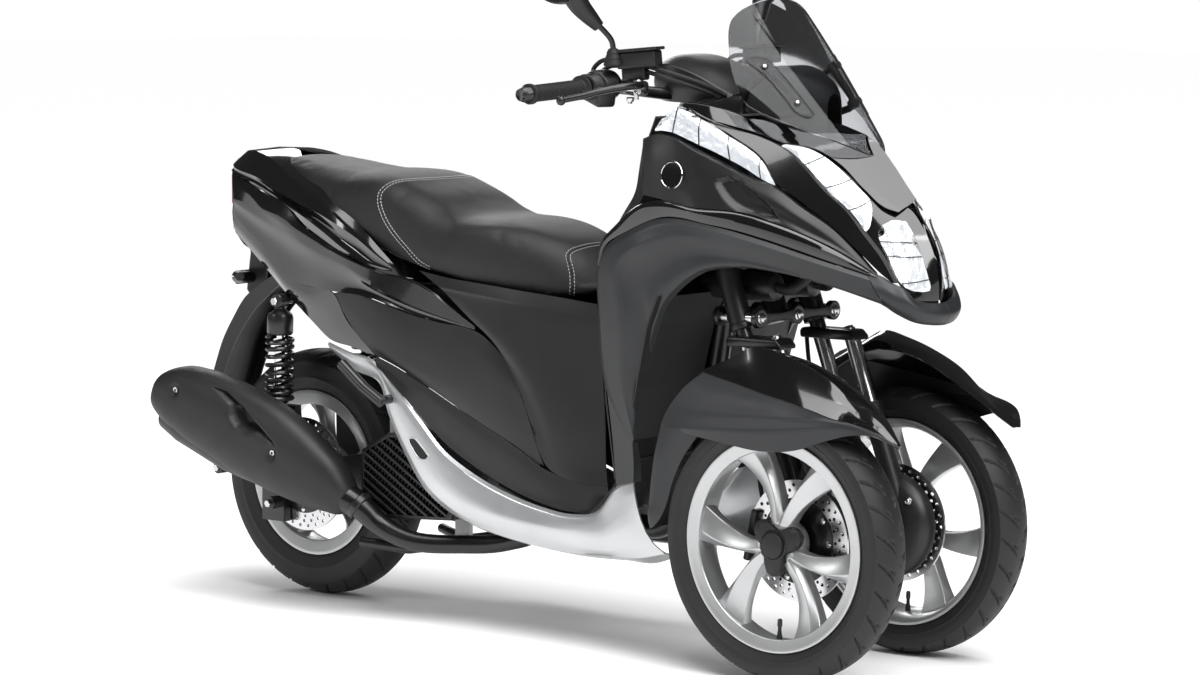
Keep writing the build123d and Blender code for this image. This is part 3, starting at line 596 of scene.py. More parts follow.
def build_front_rim(name):
    """A front rim with its paired spokes, lobed hub cover and valve."""
    body = f"front_wheel_{name}"
    side = LEFT if name == "left" else RIGHT
    centre = wheel_centre(f"front_{name}")
    axis = (0, side, 0)
    parts = [turned("barrel", FRONT_BARREL, centre, axis, WHEEL, body, 160, closed=True, sharp=28, bevel=0.8)]
    for middle_angle in PAIR_ANGLES:
        for turn in (-1, 1):
            angles = [middle_angle + turn * half for half in PAIR_HALF]
            parts.append(spoke("blade", body, centre, side, angles, BLADE, turn))
    hub = [(40, -22), (42, -16), (42, 8), (40, 16), (34, 20), (14, 20), (11.5, 18), (11.5, -26), (30, -26)]
    parts.append(turned("hub", hub, centre, axis, WHEEL, body, 72, closed=True, bevel=1))
    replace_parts(merged(f"rim_{name}", parts), f"front_rim_{name}")
    # the black cover over the hub has three lobes and a round cap
    around, levels = 120, ((17, 1), (26, 0.97), (31, 0.86), (33, 0.6), (34, 0))
    lobes = []
    for height, share in levels:
        for n in range(around):
            a = 2 * pi * n / around
            lobe = LOBE_RADIUS + LOBE_SWELL * cos(3 * (a - LOBE_TURN))
            lobes.append(wheel_point(centre, side, max(lobe * share, 0.01), a, 0, height))
    cover_faces = grid_faces(len(levels), around, False, True)
    outward(mesh_piece(f"hub_cover_{name}", lobes, cover_faces, MATTE, body, merge=0.5))
    cap = [(23, 30), (23.5, 37), (22.5, 39.5), (20, 41), (10, 42), (0.01, 42.3)]
    turned(f"hub_cap_{name}", cap, centre, axis, MATTE, body, 64, bevel=0.6)
    turned(f"hub_ring_{name}", [(25.5, 33), (26.5, 34.3), (28, 33.4)], centre, axis, BLACK_METAL, body, 64)
    stem = [wheel_point(centre, side, r, VALVE_ANGLE, 0, 6) for r in (178, 168, 158, 148)]
    tube(f"valve_{name}", stem, [5.5, 5, 3.4, 3.2], MATTE, body, 14, 3)
    cap_line = [wheel_point(centre, side, r, VALVE_ANGLE, 0, 6) for r in (150, 145, 138, 136)]
    tube(f"valve_cap_{name}", cap_line, [4.4, 4.6, 4.4, 2.5], BLACK_METAL, body, 12, 2)


def build_rear_rim():
    """The rear wheel with its five spokes."""
    centre = wheel_centre("rear")
    parts = [turned("barrel", REAR_BARREL, centre, (0, -1, 0), WHEEL, "rear_wheel", 160, closed=True,
                    sharp=28, bevel=0.8)]
    blade = [(34, [(-16, 14), (0, 22), (16, 14), (14, -18), (-14, -18)]),
             (75, [(-11, 10), (0, 19), (11, 10), (9, -16), (-9, -16)]),
             (115, [(-12, 14), (0, 23), (12, 14), (10, -18), (-10, -18)]),
             (147, [(-20, 30), (0, 35), (20, 30), (16, -24), (-16, -24)])]
    for k in range(5):
        angle = 90 + 72 * k
        parts.append(spoke("blade", "rear_wheel", centre, RIGHT, (angle - 4, angle + 4), blade))
    hub = [(48, -24), (50, -16), (50, 10), (46, 22), (30, 27), (13, 27), (11.5, 25), (11.5, -27), (38, -27)]
    parts.append(turned("hub", hub, centre, (0, -1, 0), WHEEL, "rear_wheel", 72, closed=True, bevel=1))
    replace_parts(merged("rear_wheel_cast", parts), "rear_rim")


def drilled_disc(name, node, body, centre, side, reach, outer, inner, thick, rows, spokes):
    """A brake disc on a black carrier; rows of its holes are (radius, count, hole radius, first angle)."""
    axis = (0, side, 0)
    y = centre.y + side * reach
    middle_at = Vector((centre.x, y, centre.z))
    ring = [(outer, -thick / 2), (outer, thick / 2), (inner, thick / 2), (inner, -thick / 2)]
    plate_ring = turned("ring", ring, middle_at, axis, STEEL, body, 120, closed=True)
    cutters = []
    for radius, count, hole, first in rows:
        for k in range(count):
            a = radians(first) + 2 * pi * k / count
            place = middle_at + Vector((radius * cos(a), 0, radius * sin(a)))
            drill = [(0.01, -6), (hole, -6), (hole, 6), (0.01, 6)]
            cutters.append(turned("hole", drill, place, axis, STEEL, body, 12))
    cutter = merged("holes", cutters)
    modifier(plate_ring, "BOOLEAN", object=cutter, operation="DIFFERENCE", solver="EXACT")
    parts = [merged("cut_ring", [plate_ring])]
    bpy.data.objects.remove(cutter)
    carrier = [(inner + 6, -thick), (inner + 6, thick), (inner - 3, thick + 1), (inner - 12, thick + 4),
               (34, thick + 6), (34, -thick), (inner - 10, -thick - 1)]
    parts.append(turned("carrier", carrier, middle_at, axis, BLACK_METAL, body, 96, closed=True, bevel=0.6))
    for k in range(spokes):
        a = 2 * pi * k / spokes
        place = middle_at + Vector(((inner - 2) * cos(a), 0, (inner - 2) * sin(a)))
        stud = [(6, -thick - 2), (6, thick + 2), (4, thick + 3.5), (0.01, thick + 3.5)]
        parts.append(turned("stud", stud, place, axis, STEEL, body, 12))
    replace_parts(merged(name, parts), node)


for tyre in TYRES:
    build_tyre(tyre)
build_front_rim("left")
build_front_rim("right")
build_rear_rim()
for name, side in (("left", LEFT), ("right", RIGHT)):
    drilled_disc(f"disc_{name}", f"front_disc_{name}", f"front_wheel_{name}", wheel_centre(f"front_{name}"),
                 side, -42, 110, 72, 4, ((101, 30, 3.4, 0), (92, 30, 3.4, 6), (83, 24, 3.0, 2)), 10)
drilled_disc("disc_rear", "rear_disc", "rear_wheel", wheel_centre("rear"), RIGHT, 67, 115, 74, 4,
             ((106, 30, 3.4, 0), (96, 30, 3.4, 6), (86, 24, 3.0, 2)), 8)


# ---- front body --------------------------------------------------------------------------------------
# rows of (x, y, z), each from the rear edge to the nose
LEG_SHIELD = [
    [(974, 211, 404), (909, 204, 492), (891, 209, 640), (895, 210, 745), (976, 225, 796), (1048, 223, 821),
     (1159, 209, 811), (1250, 185, 789), (1341, 153, 760), (1431, 110, 730)],
    [(977, 214, 410), (922, 211, 494), (903, 218, 640), (908, 218, 744), (984, 231, 786), (1054, 229, 811),
     (1163, 214, 802), (1254, 190, 780), (1344, 157, 752), (1435, 114, 723)],
    [(984, 219, 414), (961, 225, 507), (962, 233, 636), (954, 232, 730), (1010, 237, 771), (1075, 229, 789),
     (1172, 209, 784), (1259, 184, 764), (1348, 151, 738), (1440, 108, 708)],
    [(982, 210, 420), (985, 219, 517), (1010, 221, 624), (1012, 224, 700), (1062, 222, 740), (1118, 214, 758),
     (1190, 197, 757), (1265, 174, 744), (1355, 142, 719), (1446, 99, 692)],
    [(972, 201, 428), (990, 214, 517), (1027, 220, 614), (1045, 221, 660), (1082, 219, 700), (1130, 212, 730),
     (1202, 192, 741), (1269, 172, 734), (1361, 137, 712), (1452, 91, 679)],
    [(975, 192, 432), (994, 202, 517), (1032, 207, 614), (1051, 207, 658), (1088, 205, 697), (1135, 199, 727),
     (1205, 180, 737), (1271, 160, 730), (1361, 126, 708), (1449, 82, 676)],
]
SHIELD_FOOT = [
    [(900, 190, 500), (903, 182, 406), (905, 176, 316)],
    [(909, 204, 490), (913, 194, 406), (917, 187, 314)],
    [(974, 211, 405), (972, 205, 368), (966, 198, 331)],
    [(974, 196, 405), (975, 188, 368), (970, 180, 331)],
]
BAND = [
    [(893, 196, 730), (893, 200, 765), (932, 205, 806), (992, 210, 845), (1034, 208, 856), (1118, 205, 843),
     (1190, 184, 838), (1278, 158, 815), (1370, 128, 776), (1441, 96, 733)],
    [(890, 209, 732), (895, 209, 765), (939, 215, 805), (1001, 221, 845), (1040, 219, 853), (1122, 215, 841),
     (1196, 193, 836), (1283, 167, 813), (1374, 135, 774), (1444, 100, 731)],
    [(895, 215, 729), (903, 217, 760), (951, 225, 799), (1013, 229, 839), (1052, 226, 843), (1132, 219, 833),
     (1206, 198, 821), (1291, 171, 799), (1379, 138, 766), (1445, 104, 729)],
    [(899, 213, 725), (906, 214, 756), (972, 224, 800), (1012, 227, 824), (1050, 223, 830), (1133, 216, 824),
     (1213, 194, 806), (1297, 168, 784), (1380, 137, 757), (1440, 108, 730)],
    [(895, 207, 720), (903, 208, 750), (976, 221, 794), (1012, 222, 810), (1048, 218, 818), (1135, 211, 813),
     (1219, 188, 793), (1300, 163, 771), (1379, 133, 747), (1431, 108, 728)],
]
SIDE_COWL = [
    [(991, 184, 966), (1014, 186, 975), (1052, 190, 972), (1097, 184, 951), (1148, 168, 926), (1206, 154, 899),
     (1250, 142, 885), (1300, 128, 850), (1356, 114, 816), (1437, 92, 735)],
    [(988, 198, 963), (1012, 201, 970), (1051, 203, 969), (1099, 196, 946), (1150, 180, 921), (1207, 165, 895),
     (1252, 152, 881), (1303, 137, 846), (1358, 123, 811), (1441, 98, 733)],
    [(992, 205, 930), (1022, 210, 930), (1060, 208, 930), (1102, 202, 910), (1152, 190, 890), (1208, 177, 872),
     (1256, 164, 858), (1306, 148, 830), (1360, 131, 797), (1442, 100, 733)],
    [(1001, 212, 893), (1028, 214, 893), (1066, 212, 891), (1110, 205, 879), (1156, 195, 863), (1210, 180, 850),
     (1262, 164, 838), (1310, 149, 815), (1364, 132, 787), (1443, 101, 732)],
    [(1000, 214, 862), (1038, 217, 857), (1080, 215, 849), (1122, 212, 843), (1160, 201, 841), (1195, 190, 839),
     (1282, 164, 815), (1330, 149, 797), (1374, 133, 777), (1444, 101, 731)],
]
COWL_REAR = [
    [(968, 150, 955), (958, 150, 905), (950, 150, 868), (936, 150, 826), (915, 150, 780)],
    [(978, 184, 960), (972, 190, 905), (968, 196, 866), (938, 196, 822), (905, 192, 775)],
    [(988, 198, 963), (992, 205, 912), (1000, 214, 862), (945, 211, 810), (896, 207, 765)],
]
VENT = [(1150, 894), (1171, 899), (1212, 880), (1247, 855), (1275, 823), (1243, 827), (1199, 840),
        (1172, 858)]
TURN_LAMP = [
    [(1016, 195, 982), (1030, 194, 1000), (1062, 188, 1021), (1079, 183, 1019), (1105, 176, 1001),
     (1121, 169, 993), (1156, 159, 971), (1191, 151, 951), (1218, 146, 931), (1237, 147, 909), (1253, 149, 887)],
    [(1022, 203, 982), (1038, 203, 993), (1064, 197, 1006), (1084, 192, 1002), (1108, 185, 987),
     (1127, 178, 976), (1161, 168, 955), (1195, 160, 935), (1221, 154, 918), (1239, 152, 903), (1253, 149, 886)],
    [(1018, 200, 978), (1034, 202, 979), (1060, 201, 976), (1085, 195, 966), (1110, 188, 955), (1133, 180, 945),
     (1167, 170, 929), (1200, 163, 913), (1227, 157, 897), (1241, 153, 890), (1252, 149, 885)],
]
FACET = [[(1081, 180, 1021), (1107, 172, 1003), (1158, 156, 973), (1220, 143, 932), (1256, 146, 887),
          (1287, 138, 866), (1357, 122, 818), (1400, 112, 781), (1446, 96, 735), (1466, 86, 717)],
         [(1106, 170, 1004), (1152, 152, 986), (1207, 127, 968), (1246, 116, 950), (1283, 112, 921),
          (1330, 109, 878), (1376, 102, 841), (1410, 97, 801), (1444, 91, 761), (1468, 84, 719)],]
# a narrow deep-black strip beside the facet: painted shade standing in for the groove there
GROOVE_SHADE_STRIP = [[(x, y, z - 1) for x, y, z in FACET[1]], [(1116, 165, 1001), (1160, 147, 984),
                                                         (1214, 122, 966), (1252, 108, 947), (1290, 102, 917),
                                                         (1338, 99, 874), (1384, 92, 836), (1418, 87, 797),
                                                         (1450, 82, 759), (1472, 78, 718)],]
HOOD = [
    [(1060, 186, 1022), (1094, 175, 1007), (1150, 148, 990), (1203, 122, 974), (1236, 110, 961), (1285, 80, 951),
     (1330, 65, 926), (1386, 61, 879), (1426, 53, 848), (1444, 38, 840)],
    [(1059, 178, 1030), (1094, 168, 1027), (1137, 137, 1015), (1190, 112, 988), (1236, 88, 972),
     (1287, 66, 959), (1331, 54, 935), (1386, 48, 890), (1427, 40, 856), (1446, 28, 845)],
    [(1058, 150, 1030), (1084, 140, 1033), (1124, 118, 1026), (1184, 92, 1003), (1236, 68, 984),
     (1292, 44, 970), (1338, 34, 947), (1388, 28, 908), (1430, 22, 870), (1450, 14, 852)],
    [(1048, 0, 1036), (1078, 0, 1042), (1110, 0, 1042), (1176, 0, 1026), (1240, 0, 1004), (1310, 0, 984),
     (1368, 0, 960), (1405, 0, 922), (1436, 0, 884), (1455, 0, 862)],
]
FACE = [
    [(1253, 108, 946), (1290, 102, 916), (1338, 99, 873), (1384, 92, 835), (1412, 90, 806), (1436, 87, 778),
     (1461, 83, 738), (1479, 77, 712), (1492, 64, 688)],
    [(1285, 80, 950), (1330, 65, 925), (1372, 62, 893), (1400, 60, 868), (1424, 66, 838), (1448, 66, 800),
     (1476, 60, 752), (1490, 52, 722), (1500, 40, 690)],
    [(1300, 70, 950), (1335, 60, 925), (1386, 58, 880), (1426, 46, 849), (1444, 38, 835), (1470, 38, 800),
     (1494, 34, 752), (1505, 30, 722), (1509, 24, 688)],
    [(1312, 60, 950), (1345, 50, 925), (1400, 40, 880), (1440, 24, 855), (1456, 14, 842), (1482, 14, 812),
     (1506, 14, 766), (1514, 12, 730), (1515, 10, 690)],
]
NOSE_TRIM = [
    [(1426, 104, 734), (1446, 96, 731), (1467, 84, 717), (1484, 74, 708), (1494, 60, 690), (1501, 38, 683),
     (1508, 16, 680), (1510, 0, 679)],
    [(1431, 112, 730), (1447, 102, 727), (1469, 89, 713), (1487, 78, 704), (1499, 63, 687), (1508, 41, 681),
     (1517, 18, 680), (1520, 0, 680)],
    [(1446, 112, 706), (1458, 104, 702), (1478, 92, 690), (1496, 79, 682), (1511, 63, 670), (1522, 42, 664),
     (1529, 20, 661), (1531, 0, 660)],
    [(1454, 97, 682), (1462, 96, 679), (1476, 87, 669), (1490, 76, 660), (1502, 62, 652), (1512, 42, 646),
     (1519, 20, 643), (1521, 0, 642)],
    [(1440, 84, 678), (1450, 84, 674), (1463, 77, 664), (1475, 66, 655), (1484, 54, 648), (1490, 36, 643),
     (1494, 18, 640), (1495, 0, 639)],
]
HEADLAMP = [
    [(1433, 69, 818), (1428, 76, 806), (1436, 81, 790), (1452, 80, 765), (1466, 80, 738), (1479, 76, 716),
     (1491, 64, 705), (1500, 42, 700)],
    [(1446, 58, 826), (1449, 62, 808), (1460, 64, 788), (1474, 62, 762), (1485, 58, 738), (1494, 52, 718),
     (1500, 46, 706), (1503, 38, 701)],
    [(1460, 36, 824), (1470, 32, 806), (1480, 31, 786), (1491, 31, 762), (1500, 30, 738), (1505, 29, 722),
     (1508, 28, 710), (1508, 30, 703)],
]
POSITION_LAMP = [
    [(1240, 117, 953), (1262, 108, 938), (1284, 107, 920), (1306, 105, 903), (1330, 104, 881), (1352, 101, 863),
     (1375, 97, 842), (1395, 94, 824), (1411, 91, 807)],
    [(1247, 114, 957), (1272, 101, 943), (1297, 94, 928), (1322, 90, 910), (1348, 87, 888), (1370, 85, 870),
     (1392, 82, 850), (1406, 82, 832), (1413, 87, 811)],
    [(1250, 109, 957), (1280, 86, 950), (1308, 76, 936), (1334, 69, 917), (1360, 67, 896), (1384, 66, 877),
     (1402, 66, 860), (1410, 71, 841), (1414, 82, 816)],
]


BADGE_PLACE = (1066, 900)        # where the side cowl carries a plain round button


def panel_point(piece, x, z):
    """The outer face of a right-hand panel at a place in the side view, and its normal."""
    mesh = piece.data
    tree = BVHTree.FromPolygons([v.co for v in mesh.vertices], [p.vertices for p in mesh.polygons])
    place, normal = tree.ray_cast(at(x, -400, z), Vector((0, 1, 0)))[:2]
    return from_frame(place), np.array(-normal if normal.y > 0 else normal)


def press(piece, outline, depth, slope):
    """Presses a recess with sloping walls into a right-hand panel, inside a side-view outline."""
    a = curve(np.array(outline, float), 4, corners=(0, 4), closed=True)
    b = np.roll(a, -1, 0)
    for v in piece.data.vertices:
        p = from_frame(v.co)[[0, 2]]
        crosses = (a[:, 1] > p[1]) != (b[:, 1] > p[1])
        reach = a[:, 0] + (p[1] - a[:, 1]) * (b[:, 0] - a[:, 0]) / np.where(crosses, b[:, 1] - a[:, 1], 1)
        if np.count_nonzero(crosses & (reach > p[0])) % 2 == 0:
            continue
        share = np.clip(((p - a) * (b - a)).sum(1) / np.maximum(((b - a) ** 2).sum(1), 1e-9), 0, 1)
        away = np.linalg.norm(p - (a + (b - a) * share[:, None]), axis=1).min() / slope
        v.co.y += depth / 1000 * min(away, 1)


def shrunk(rows, depth):
    """Rows moved inwards, towards the middle and back."""
    return [[(x - depth, max(y - depth, 0), z) for x, y, z in row] for row in rows]


def build_front_cowl():
    """The leg shield, the cowls over it with their plain round button, the hood and the nose's lip."""
    shield = patch("leg_shield_skin", LEG_SHIELD, SATIN, creases=(1, 2), along=7, bevel=1.5)
    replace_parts(shield, "leg_shield")
    patch("shield_foot", SHIELD_FOOT, SATIN, creases=(1, 2))
    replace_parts(patch("shield_band", BAND, GLOSS, creases=(2,), along=7, bevel=1.6), "front_cowl")
    patch("cowl_rear", COWL_REAR, MATTE, creases=(1,), outward=(-1, -1, 0))
    cowl = patch("side_cowl", SIDE_COWL, SATIN_DARK, creases=(1,), along=11, across=7, bevel=1.6)
    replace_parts(cowl, "side_cowls")
    place, normal = panel_point(cowl, *BADGE_PLACE)
    press(cowl, VENT, depth=9, slope=6)
    place = tuple(place + normal * 2)
    rim = [(22.4, -5), (25.6, -5), (26, 1), (25.2, 2), (23.2, 2), (22.5, 1)]
    button = [(0, -5), (22.6, -5), (22.6, 0.8), (16, 1.3), (0, 1.6)]
    mirrored(turned("badge_rim", rim, place, normal, CHROME, closed=True))
    mirrored(turned("badge_button", button, place, normal, GLOSS))
    patch("cowl_facet", FACET, GLOSS, along=8, outward=(1, -1, 1))
    # the groove is a flat deep-black strip, which is painted shade
    patch("cowl_groove_shade", GROOVE_SHADE_STRIP, DARK, along=8, across=2, outward=(1, -1, 1))
    patch("hood", HOOD, GLOSS, along=7, across=7, creases=(1,), outward=(0.5, 0, 1))
    trim = patch("nose_lip", NOSE_TRIM, SATIN, creases=(1,), along=6, outward=(1, -1, 0), bevel=1.5)
    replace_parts(trim, "nose_trim")


def lamp_fins(name, rows, stations, depth):
    """Dark dividers across a lamp, just behind its lens."""
    fins = []
    for k in stations:
        line = [(x - depth, -(y - depth), z) for x, y, z in (row[k] for row in rows)]
        fins.append(mirrored(tube(f"{name}_{k}", line, 1.1, SATIN_DARK, sides=8, steps=4)))
    merged(name, fins)


def build_lamps():
    """Each lamp's lens, the reflector behind it with its painted glow, and its dividers, and the panel round the
    headlamp.
    """
    lamps = (
        # name, reflector's name, node, rows, lens, points along, outwards, depth of the reflector, then
        # where its dividers stand and how deep
        ("turn", "turn_reflector", "turn_lamps", TURN_LAMP, RIBBED, 5, (0, -1, 1), 5, (2, 4, 6, 8), 4),
        ("position", "position_reflector", "position_lamps", POSITION_LAMP, RIBBED, 6, (1, -1, 1), 3.2,
         (2, 4, 6), 2.6),
        ("headlamp", "headlamp_bowl", "headlamp", HEADLAMP, CLEAR, 6, (1, 0, 0), 5, (2, 3, 5), 3),
    )
    for name, bowl, node, rows, lens, along, facing, deep, stations, fin_depth in lamps:
        glass = patch(f"{name}_lens", rows, lens, along=along, outward=facing, thickness=2, bevel=0.8)
        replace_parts(glass, node)
        patch(bowl, shrunk(rows, deep), REFLECTOR_PAINTED_GLOW, along=along, outward=facing, thickness=1, bevel=0.4)
        lamp_fins(f"{name}_dividers", rows, stations, fin_depth)
    face = [row + [(row[-1][0] - 3, row[-1][1], 662)] for row in shrunk(FACE, 6)]
    patch("face_panel", face, GLOSS, along=6, outward=(1, 0, 1), thickness=2)


build_front_cowl()
build_lamps()


# ---- rear body ---------------------------------------------------------------------------------------
TAIL = [
    [(-172, 94, 857), (-115, 108, 839), (-46, 124, 819), (17, 138, 801), (75, 145, 761), (123, 152, 742),
     (204, 161, 710), (293, 169, 686), (400, 172, 671), (553, 170, 592)],
    [(-165, 101, 836), (-109, 114, 826), (-60, 125, 790), (-8, 136, 773), (60, 145, 752), (110, 152, 735),
     (195, 164, 708), (293, 173, 684), (410, 177, 664), (554, 172, 590)],
    [(-158, 106, 800), (-120, 113, 787), (-58, 124, 765), (20, 137, 741), (80, 147, 721), (135, 155, 705),
     (210, 165, 686), (285, 174, 658), (400, 179, 623), (555, 172, 587)],
    [(-164, 101, 788), (-132, 107, 772), (-76, 116, 748), (-6, 127, 722), (50, 136, 700), (105, 146, 684),
     (190, 157, 664), (279, 166, 644), (390, 174, 616), (554, 171, 586)],
    [(-168, 99, 776), (-140, 105, 757), (-90, 113, 728), (-30, 122, 690), (20, 130, 652), (90, 141, 641),
     (164, 153, 636), (271, 168, 632), (375, 175, 610), (553, 171, 585)],
]
TAIL_UNDER = [
    [(-168, 99, 776), (-140, 105, 757), (-90, 113, 728), (-30, 122, 690), (20, 130, 652), (90, 140, 640),
     (164, 152, 632), (202, 155, 582), (250, 160, 544), (290, 166, 518)],
    [(-166, 98, 752), (-133, 104, 732), (-88, 111, 703), (-35, 120, 668), (11, 127, 634), (70, 136, 614),
     (126, 143, 602), (174, 149, 560), (232, 156, 536), (289, 165, 516)],
    [(-164, 93, 733), (-125, 99, 708), (-87, 104, 682), (-40, 111, 650), (2, 117, 620), (50, 125, 592),
     (90, 131, 568), (147, 141, 538), (215, 152, 529), (288, 164, 515)],
    [(-162, 80, 731), (-122, 86, 705), (-84, 91, 679), (-37, 98, 647), (5, 104, 617), (53, 112, 589),
     (93, 118, 565), (149, 130, 535), (216, 142, 526), (288, 154, 512)],
]
RAIL = [
    [(-176, 0, 893), (-140, 0, 905), (-80, 0, 903), (-20, 46, 892), (40, 80, 874), (99, 118, 848),
     (186, 142, 800), (244, 152, 764), (293, 160, 731), (339, 165, 699)],
    [(-182, 52, 889), (-146, 72, 901), (-86, 92, 897), (-30, 108, 880), (10, 122, 862), (99, 144, 826),
     (186, 160, 782), (244, 164, 749), (293, 169, 722), (339, 171, 696)],
    [(-186, 62, 882), (-168, 95, 871), (-78, 117, 850), (0, 135, 826), (56, 146, 808), (117, 155, 792),
     (186, 164, 769), (244, 167, 744), (293, 171, 718), (339, 172, 694)],
    [(-186, 60, 871), (-170, 93, 865), (-80, 112, 842), (0, 129, 817), (56, 138, 798), (117, 147, 777),
     (186, 157, 748), (244, 162, 728), (293, 168, 706), (339, 171, 691)],
    [(-186, 60, 864), (-172, 96, 861), (-90, 113, 838), (-20, 130, 818), (17, 143, 805), (88, 153, 778),
     (149, 161, 751), (205, 165, 722), (250, 169, 704), (338, 172, 688)],
    [(-182, 56, 856), (-170, 92, 857), (-113, 107, 840), (-46, 122, 820), (17, 136, 801), (75, 143, 763),
     (125, 151, 742), (204, 160, 711), (293, 168, 688), (337, 170, 685)],
]
TAIL_BACK = [
    [(-176, 0, 858), (-178, 0, 800), (-178, 0, 745), (-172, 0, 700)],
    [(-176, 56, 858), (-177, 58, 800), (-177, 58, 745), (-170, 56, 702)],
    [(-172, 94, 857), (-158, 106, 800), (-168, 99, 776), (-164, 93, 733)],
]
SIDE_COVER = [
    [(164, 151, 632), (198, 156, 639), (271, 166, 630), (375, 173, 608), (467, 176, 594), (553, 170, 583),
     (640, 160, 520)],
    [(184, 153, 606), (226, 160, 606), (300, 170, 594), (395, 177, 572), (485, 178, 556), (576, 173, 540),
     (655, 163, 482)],
    [(218, 156, 568), (264, 165, 560), (336, 174, 540), (425, 179, 516), (510, 179, 500), (602, 172, 480),
     (676, 160, 432)],
    [(252, 160, 540), (300, 168, 528), (368, 174, 502), (450, 177, 472), (535, 176, 446), (622, 169, 424),
     (694, 156, 380)],
    [(292, 165, 517), (339, 168, 503), (383, 170, 487), (457, 172, 456), (549, 171, 414), (640, 164, 372),
     (711, 151, 332)],
]
FLANK = [
    [(400, 160, 690), (470, 160, 680), (560, 156, 672), (640, 148, 664), (725, 132, 655), (812, 118, 645)],
    [(473, 173, 657), (520, 171, 652), (585, 166, 644), (655, 156, 634), (735, 138, 622), (822, 121, 600)],
    [(540, 171, 606), (585, 171, 586), (638, 166, 560), (690, 156, 540), (752, 142, 520), (832, 124, 500)],
    [(600, 166, 560), (640, 163, 520), (686, 160, 470), (722, 156, 430), (770, 146, 410), (840, 128, 410)],
    [(655, 162, 482), (680, 160, 440), (708, 157, 400), (740, 154, 360), (786, 146, 340), (846, 132, 336)],
    [(690, 159, 400), (705, 158, 360), (722, 156, 334), (752, 153, 318), (796, 147, 308), (852, 134, 306)],
]
ROLL = [
    [(292, 166, 517), (339, 169, 503), (383, 171, 487), (457, 173, 456), (549, 172, 414), (640, 166, 372),
     (711, 158, 332), (752, 153, 318), (800, 146, 308), (852, 134, 306)],
    [(294, 172, 508), (345, 174, 490), (395, 175, 468), (470, 176, 430), (556, 174, 384), (640, 168, 346),
     (711, 162, 316), (760, 156, 300), (812, 150, 290), (862, 142, 292)],
    [(294, 168, 497), (345, 168, 466), (400, 168, 430), (472, 166, 378), (556, 165, 330), (640, 164, 296),
     (715, 162, 276), (770, 160, 264), (830, 161, 264), (880, 164, 300)],
    [(296, 165, 490), (350, 165, 452), (410, 165, 404), (480, 165, 354), (556, 164, 316), (640, 164, 284),
     (715, 164, 264), (776, 165, 256), (838, 168, 262), (898, 172, 312)],
]
SIDE_TRIM = [
    [(139, 138, 533), (205, 150, 519), (290, 162, 504), (330, 163, 470), (404, 164, 404), (472, 166, 345),
     (532, 166, 313), (640, 167, 276), (720, 171, 260), (800, 177, 254), (862, 182, 264), (920, 188, 319),
     (963, 193, 333)],
    [(140, 142, 530), (205, 153, 516), (291, 167, 500), (334, 168, 464), (405, 169, 398), (472, 171, 339),
     (532, 171, 307), (640, 172, 269), (720, 176, 254), (800, 182, 248), (866, 187, 260), (924, 194, 314),
     (966, 199, 329)],
    [(141, 143, 526), (208, 154, 508), (300, 168, 488), (338, 170, 448), (408, 172, 375), (474, 174, 316),
     (534, 174, 288), (644, 175, 254), (722, 179, 241), (802, 185, 236), (878, 191, 248), (936, 198, 292),
     (972, 203, 312)],
    [(142, 141, 523), (222, 153, 491), (300, 164, 468), (326, 168, 420), (378, 171, 340), (430, 173, 278),
     (488, 173, 240), (583, 173, 216), (672, 175, 206), (779, 181, 198), (885, 190, 196), (966, 203, 212),
     (1020, 208, 224)],
    [(141, 138, 521), (218, 150, 484), (296, 160, 462), (320, 164, 410), (368, 166, 330), (424, 166, 262),
     (490, 162, 222), (583, 162, 198), (672, 164, 186), (779, 170, 180), (885, 178, 184), (981, 196, 191),
     (1048, 208, 207)],
    [(143, 128, 522), (219, 139, 484), (292, 148, 462), (312, 150, 408), (360, 150, 328), (420, 148, 258),
     (492, 138, 210), (583, 120, 182), (672, 112, 170), (779, 112, 164), (885, 120, 168), (981, 150, 176),
     (1044, 168, 196)],
]
FLOOR = [
    [(600, 0, 262), (680, 0, 250), (760, 0, 246), (830, 0, 256), (880, 0, 300), (905, 0, 360)],
    [(600, 80, 262), (680, 90, 250), (760, 96, 246), (830, 100, 256), (882, 120, 300), (906, 140, 360)],
    [(600, 150, 296), (680, 152, 268), (760, 154, 254), (830, 158, 262), (890, 165, 308), (910, 176, 350)],
    [(604, 166, 290), (682, 166, 264), (762, 168, 251), (834, 172, 260), (898, 178, 312), (914, 186, 322)],
]


PANELS = (
    # name, rows, finish, creased rows, bevel, outwards, node it replaces
    ("tail_side", TAIL, GLOSS, (1, 2), 1.6, (0, -1, 0), "tail_cowl"),
    ("tail_under", TAIL_UNDER, GLOSS, (2,), 1.4, (0, -1, 0), None),
    ("tail_rail", RAIL, GLOSS, (1, 2, 4), 2, (0, -1, 0.7), "grab_rail"),
    ("tail_back", TAIL_BACK, MATTE, (), 1.2, (-1, 0, 0), None),
    ("side_cover", SIDE_COVER, SATIN_DARK, (), 2.2, (0, -1, 0), "side_covers"),
    ("flank_cover", FLANK, SATIN_DARK, (1,), 2, (0, -1, 0), None),
    ("floor_roll", ROLL, MATTE, (2,), 2, (0, -1, 0), "footboard"),
)
for name, rows, finish, creases, bevel, facing, node in PANELS:
    panel = patch(name, rows, finish, creases=creases, bevel=bevel, outward=facing)
    if node:
        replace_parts(panel, node)
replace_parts(patch("side_trim", SIDE_TRIM, SILVER, creases=(1, 4), along=6, bevel=2), "side_trims")
patch("floor_panel", FLOOR, MATTE, creases=(2,), thickness=4, outward=(0, 0, 1))


